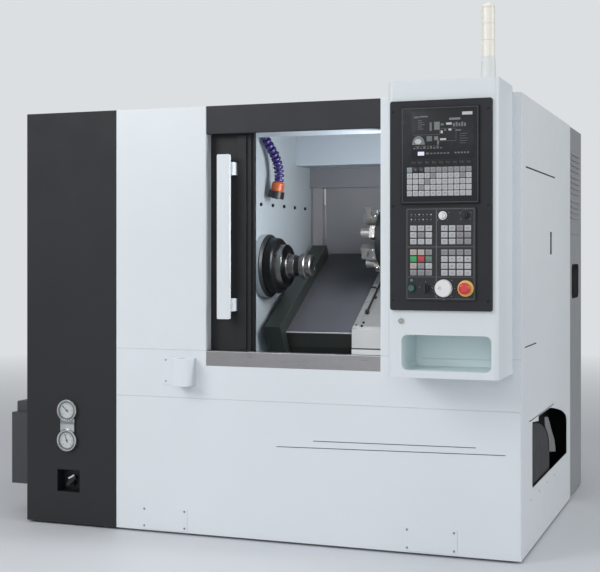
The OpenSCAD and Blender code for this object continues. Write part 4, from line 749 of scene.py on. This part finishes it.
# The turned part's picture: a half-round blank with a round face, and the tool's path
show.use(GREEN_GREY).sheet([on_screen(0.105 * (1 - math.cos(t)), 0.29 + 0.19 * math.sin(t))
                            for t in (math.pi * (1 - k / 14) for k in range(15))], SCREEN_Y, 0.2)
show.use(WHITE).sheet([on_screen(0.10 + 0.055 * math.cos(t), 0.36 + 0.055 * math.sin(t))
                       for t in (k * math.pi / 8 for k in range(16))], SCREEN_Y)
PATH = ((0.02, 0.5), (0.45, 0.5), (0.45, 0.62), (0.72, 0.62), (0.72, 0.36), (0.42, 0.36))
for p, q in zip(PATH, PATH[1:]):
    show.use(DIM).line(*on_screen(*p), *on_screen(*q), SCREEN_Y, 1.0, 0.15)
show.done()

# Display unit with its sunk screen
display = Piece("display_face", "machine", unit_mat, screen_mat)
display.box((1694.5, UNIT_Y, 1289), (1972, -272.5, 1627), 3)
display.use(1).box((1734, SCREEN_Y, 1446), (1954, -280.6, 1612), 0.2)
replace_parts(display.done(), "display_unit", "display_screen")

# A lighter line round the display unit, a painted highlight on its edge, and the row of soft keys
# under the screen
bezel = Piece("bezel_highlight_and_soft_keys", "machine", print_and_bezel_highlight, key_dark, mark_grey)
bezel.frame(1701, 1296, 1967, 1621, UNIT_Y, 1.2, 0.2)
for i in range(9):
    cx, top = 1742 + i * 24.3, UNIT_Y - 1.2
    bezel.use(1).box((cx - 8, top, 1426), (cx + 8, UNIT_Y, 1437), 1.0)
    bezel.use(2).line(cx - 3.5, 1431.5, cx + 3.5, 1431.5, top, 1.0, MARK_T)
bezel.done()

# Screws of the control plate, the holster, the fork-pocket covers, the right side and the
# chamber's left wall
steel_screw = metal("screw_steel", "9C9D9E", 0.3, (1, 1, 1), 500, 0.00002, edge="D8D8D6")
black_screw = metal("screw_black", "2A2B2D", 0.4, (1, 1, 1), 500, 0.00002, metallic=0.7)
plate_screws = Piece("plate_screws", "machine", black_screw)
for x in (1666, 2003):
    for i in range(3):
        plate_screws.screw((x, PLATE_Y, 970 + i * 313), FORWARD, 10.4, 2.6)
plate_screws.done()

front_screws = Piece("front_screws", "machine", steel_screw)
for z in (610, 694):
    front_screws.screw((647, -1.2, z), FORWARD, 6.6, 2.4)
for x0 in (538, 1629):
    for dx in (12, 190):
        for dz in (12, 79):
            front_screws.screw((x0 + dx, -0.6, 14 + dz), FORWARD, 8.6, 1.6)
front_screws.done()

SIDE_X = 2064.5
side_screws = Piece("side_screws", "machine", side_shade_and_bolts)
for y in (208, 399, 591, 777):
    side_screws.screw((SIDE_X - 0.1, y, 193), RIGHTWARD, 9, 0.5)
side_screws.done()

wall_screws = Piece("wall_screws", "machine", black_screw)
for i in range(5):
    wall_screws.screw((875.2, 439 + i * 137, 1329), RIGHTWARD, 15, 7)
wall_screws.done()

# Yellow ring of the emergency stop
ring = Piece("stop_ring", "machine", yellow_mat)
ring.turned((1925, UNIT_Y, 998), FORWARD,
            [(0, 28), (1.2, 28), (1.8, 27), (1.8, 15.4), (0, 15.4)], 48)
ring.done()

# Cases, dials, glasses and pointers of the two gauges. Angles start at the top, clockwise.
GAUGE_X, UPPER_Z, LOWER_Z = 199, 474, 351
DIAL_Y, PRINT_Y, POINTER_Y, GLASS_Y = -11, -11.3, -12.2, -13.8
dial_white = plastic("dial_white", "BFC1C1", 0.4, 500, 0.00001, vary=0.02)
gauge_glass = clear("gauge_glass", 30, "E8EEF0", "DCE4E6", Roughness=0.04, Alpha=0.16)
gauges = Piece("gauge_faces", "machine", dial_white, key_dark, key_red, key_green, chrome)
glasses = Piece("gauge_glasses", "machine", gauge_glass.mat)


def on_dial(cz, degrees, r):
    a = math.radians(degrees)
    return GAUGE_X + math.sin(a) * r, cz + math.cos(a) * r


# Part of a coloured ring on a dial
def dial_band(cz, first, last, r0, r1, steps=16):
    angles = [first + (last - first) * k / steps for k in range(steps + 1)]
    return [on_dial(cz, a, r1) for a in angles] + [on_dial(cz, a, r0) for a in reversed(angles)]


gauges.use(4).box((166, -9, 385), (232, 0, 440), 2)
for cz in (LOWER_Z, UPPER_Z):
    front = (GAUGE_X, DIAL_Y, cz)
    gauges.use(4).turned((GAUGE_X, 0, cz), FORWARD, [(0, 46), (7, 47), (12, 46.5), (16, 44),
                                                    (16.4, 41), (15.5, 38), (11, 37), (11, 0)], 64)
    # A dark ring inside the chrome rim: painted shadow of the rim on the dial
    gauges.use(1).turned(front, FORWARD, [(-0.2, 37), (2.4, 37), (2.4, 32.5), (-0.2, 32)], 64)
    gauges.use(0).turned(front, FORWARD, [(-0.1, 32.2), (0.3, 32.2), (0.3, 0)], 48)
    for i in range(31):
        a = -135 + i * 9
        r0, width = (24, 0.8) if i % 5 else (21, 1.6)
        gauges.use(1).line(*on_dial(cz, a, r0), *on_dial(cz, a, 27.5), PRINT_Y, width, 0.15)
    for first, last, tone in ((-135, 60, 3), (60, 135, 2)):
        gauges.use(tone).sheet(dial_band(cz, first, last, 29.2, 30.4), PRINT_Y, 0.12)
    glasses.turned((GAUGE_X, GLASS_Y, cz), FORWARD, [(0, 37.4), (0.6, 37.4), (0.6, 0)], 48)
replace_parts(gauges.done(), "gauge_cases")
glasses.done()
for name, body, node, cz, angle in (("upper_pointer", "needle_up", "upper_needle", UPPER_Z, -50),
                                    ("lower_pointer", "needle_low", "lower_needle", LOWER_Z, -20)):
    pointer = Piece(name, body, black_plastic)
    pointer.line(*on_dial(cz, angle, -11), *on_dial(cz, angle, 27), POINTER_Y, 3.2, 0.8)
    pointer.turned((GAUGE_X, DIAL_Y - 0.4, cz), FORWARD, [(0, 4.5), (2.2, 4.5), (2.4, 0)], 20)
    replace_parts(pointer.done(), node)

# Painted highlight on the main switch's lever: a light line along it
lever_y = (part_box("switch_lever")[0].y - CORNER.y) * 1000
lever_highlight = Piece("lever_highlight", "lever", line_white)
lever_highlight.line(189, 189, 216, 204, lever_y, 6)
lever_highlight.done()

# Two thin dark lines on the skirt
pinstripe = Piece("skirt_lines", "machine", plastic("line_slate", "4C5157", 0.5, 600, 0.00001))
pinstripe.line(1270, 402, 1900, 410, 0, 3.0, 0.2)
pinstripe.line(1120, 373, 2008, 388, 0, 3.0, 0.2)
pinstripe.done()


# Right side panel: the arched outlet, the two narrow slots and the latch recess
outlet = (bend(258, 250, 20, 180, 270, 6)
          + [(1146, 230), (1146, 376), (1136, 389), (1120, 400), (1080, 414), (1035, 427),
             (980, 439), (928, 448), (868, 458), (808, 467), (740, 477), (700, 483), (646, 487)]
          + bend(262, 463, 24, 90, 180, 6))
slots = (rect(98, 1434, 799, 1440), rect(80, 772, 333, 777))
side = Piece("side_panel_face", "machine", side_white, side_shade_and_bolts, rubber)
side.side_sheet(2062, SIDE_X, rect(25, 8, 1247, 1700), outlet, rect(670, 1115, 720, 1208), *slots)
for (y0, z0), _, (y1, z1), _ in slots:
    side.use(2).box((2061, y0 - 2, z0 - 2), (2063.6, y1 + 2, z1 + 2))
# The latch recess's back and walls are painted dark: painted shade in the recess
side.use(1).box((2048, 668, 1113), (2050, 722, 1210))
for y0, z0, y1, z1 in ((668, 1113, 670, 1210), (720, 1113, 722, 1210), (669, 1113, 721, 1115),
                       (669, 1208, 721, 1210)):
    side.box((2049, y0, z0), (2062.5, y1, z1))
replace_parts(side.done(), "right_side_panel")

# Drip strip over the outlet, with a painted shadow line under it, and the tab at its front end
side_trim = Piece("side_trim", "machine", side_white, side_shade_and_bolts)
side_trim.box((2064, 171, 494), (2065, 759, 505), 0.3)
side_trim.use(1).box((2064, 171, 489), (2064.8, 759, 493), 0.2)
side_trim.use(0).side_sheet(2059.5, 2061.5, [(262, 478), (400, 466), (400, 492), (262, 496)])
side_trim.done()

# Tank behind the outlet: a rounded body, the crescent rim of its hood and black boxes round the bay
# that paint its shadow
tank_dark = coat("tank_body_coat", "171A1B", 0.5, 0.1, peel=0.00012, edge="2C3132", gloss=0.3)
tank_grey = coat("tank_rim_coat", "747474", 0.5, 0.08, peel=0.00012, edge="8A8A8A", gloss=0.3)
tank_painted_shadow = coat("tank_shadow_coat", "0E0F10", 0.7, 0.1, gloss=0.1)
tank = Piece("tank_body", "machine", tank_dark, tank_grey, tank_painted_shadow)
tank.side_sheet(1520, 2055, [
    (282, 112), (705, 112), (705, 300), (700, 325), (685, 352), (650, 380), (598, 408),
    (530, 431), (467, 445), (400, 457), (330, 465), (282, 466)])
tank.use(1).side_sheet(2055.5, 2058, [
    (575, 459), (580, 430), (598, 412), (620, 402), (652, 383), (672, 365), (692, 340),
    (692, 303), (856, 278), (850, 298), (835, 320), (812, 342), (772, 367), (732, 394),
    (700, 420), (652, 450)])
# Black boxes round the tank's bay: painted shadow
for a, b in (((1985, 700, 112), (1990, 1195, 535)), ((1985, 1190, 112), (2060, 1195, 535)),
             ((1985, 700, 533), (2060, 1195, 535)), ((1985, 700, 112), (2060, 1195, 115))):
    tank.use(2).box(a, b)
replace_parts(tank.done(), "coolant_tank")

# Seam at the back of the tray pocket
pocket_seam = Piece("pocket_seam", "machine", side_white)
pocket_seam.box((1714, -62, 735), (1988, -60.5, 739), 0.4)
pocket_seam.done()

# Strip on the chamber's back wall, with a painted highlight on its upper part
strip = Piece("wall_strip", "machine", stainless, line_white)
strip.box((938, 1086, 1110), (947, 1089.6, 1428), 0.8)
# Painted highlight on the strip's upper part
strip.use(1).box((938.5, 1085.4, 1350), (946.5, 1087, 1426), 0.5)
strip.done()

# Rod along the saddle cover's hood: a ball at its foot, a small hook and two saddles under it
ROD_X, ROD_V, HOOD_V = 1325, -189, -200
rod = Piece("cover_rod", "saddle_unit", black_plastic)
foot = (ROD_X, *on_slope(-52, ROD_V))
rod.tube([foot, *((ROD_X, *on_slope(u, ROD_V)) for u in (60, 170, 290))], 9.5)
rod.turned(foot, SLOPE_UP, [(-9.5, 0), (-8.5, 4.5), (-5, 8), (0, 9.5), (5, 8), (8.5, 5.5)], 20)
rod.turned(foot, [-n for n in SLOPE_OFF], [(0, 5.5), (9, 5.5), (9, 8.5), (11, 8.5), (11, 0)], 18)
for u in (70, 250):
    rod.turned((ROD_X, *on_slope(u, HOOD_V)), SLOPE_OFF,
               [(-1, 10), (3, 10), (4, 8), (10, 6), (10, 0)], 18)
rod.tube([(ROD_X, *on_slope(126, ROD_V)), (ROD_X - 14, *on_slope(126, -180)),
          (ROD_X - 20, *on_slope(112, -172))], 7, 10)
rod.done()

# Small cap screws at the front corner of the hood and along its raised rim
RIM_X, RIM_V = 1303, -197.2
cover_screws = Piece("cover_screws", "saddle_unit", steel_screw, black_screw)
cover_screws.screw((RIM_X, *on_slope(-150, RIM_V)), SLOPE_OFF, 11, 4)
for u in (20, 190, 360):
    cover_screws.screw((RIM_X, *on_slope(u, RIM_V)), SLOPE_OFF, 9, 3)
for u in (-152, -126):
    cover_screws.use(1).screw((1327, *on_slope(u, HOOD_V - 0.2)), SLOPE_OFF, 11, 4)
cover_screws.done()

# Floor: a wide pale disc that melts into the backdrop's colour far away
BACK = lin("DCDFE2")
floor_finish = clear("floor_pale", 0.8, "D2D5D8", "CDD0D4", Roughness=0.55)
axes = floor_finish.axes()
squares = [floor_finish.calc("MULTIPLY", axes[i], axes[i]) for i in (0, 1)]
reach = floor_finish.calc("SQRT", floor_finish.calc("ADD", *squares))
far = floor_finish.spread(reach, 0, 1, 2.6, 9.0)
backdrop = floor_finish.node("Emission")
backdrop.inputs[0].default_value = BACK
seen = floor_finish.node("LightPath").outputs["Is Camera Ray"]
blend = floor_finish.node("MixShader")
for socket, value in zip(blend.inputs, (floor_finish.calc("MULTIPLY", seen, far),
                                        floor_finish.bsdf.outputs[0], backdrop.outputs[0])):
    floor_finish.put(socket, value)
floor_finish.put(floor_finish.out.inputs[0], blend.outputs[0])
bm = bmesh.new()
bmesh.ops.create_circle(bm, cap_ends=True, segments=96, radius=40)
floor_mesh = bpy.data.meshes.new("floor")
bm.to_mesh(floor_mesh)
bm.free()
floor_mesh.materials.append(floor_finish.mat)
floor = bpy.data.objects.new("floor", floor_mesh)
floor.location.z = -0.0005
bpy.context.scene.collection.objects.link(floor)

# World: even light, with the pale backdrop where the camera sees it
world = bpy.data.worlds.new("studio")
bpy.context.scene.world = world
world.use_nodes = True
world_tree = world.node_tree
world_tree.nodes.clear()
out, light, back, ray, choice = (world_tree.nodes.new("ShaderNode" + kind) for kind in (
    "OutputWorld", "Background", "Background", "LightPath", "MixShader"))
light.inputs["Color"].default_value = lin("ECEFF2")
light.inputs["Strength"].default_value = 0.42
back.inputs["Color"].default_value = BACK
for a, b in ((ray.outputs["Is Camera Ray"], choice.inputs[0]), (light.outputs[0], choice.inputs[1]),
             (back.outputs[0], choice.inputs[2]), (choice.outputs[0], out.inputs[0])):
    world_tree.links.new(a, b)


# A rectangular lamp: place and aim in metres, size in metres, power in watts
def area(name, place, aim, size, power, color):
    data = bpy.data.lights.new(name, "AREA")
    data.shape = "RECTANGLE"
    data.size, data.size_y = size
    data.energy = power
    data.color = lin(color)[:3]
    lamp = bpy.data.objects.new(name, data)
    lamp.location = place
    lamp.rotation_euler = (Vector(aim) - Vector(place)).to_track_quat("-Z", "Y").to_euler()
    lamp.visible_camera = False
    bpy.context.scene.collection.objects.link(lamp)


area("key", (-3.2, -5.2, 3.8), (0.1, -0.4, 0.9), (3.0, 3.0), 158, "FDFDFF")
area("front_fill", (1.2, -7.0, 2.2), (0.2, -0.4, 0.9), (4.0, 3.0), 88, "FBFCFF")
area("right_fill", (5.5, -0.8, 2.6), (0.6, 0.2, 0.9), (3.0, 3.0), 97, "FAFBFF")
area("top", (0.4, -0.6, 5.0), (0, 0, 0), (3.5, 3.5), 70, "FFFFFF")
# The chamber's own lamp, small enough to stay behind the closed door
area("chamber", at(1580, 215, 1330), at(880, 560, 1180), (0.18, 0.36), 8.0, "FAFBFF")
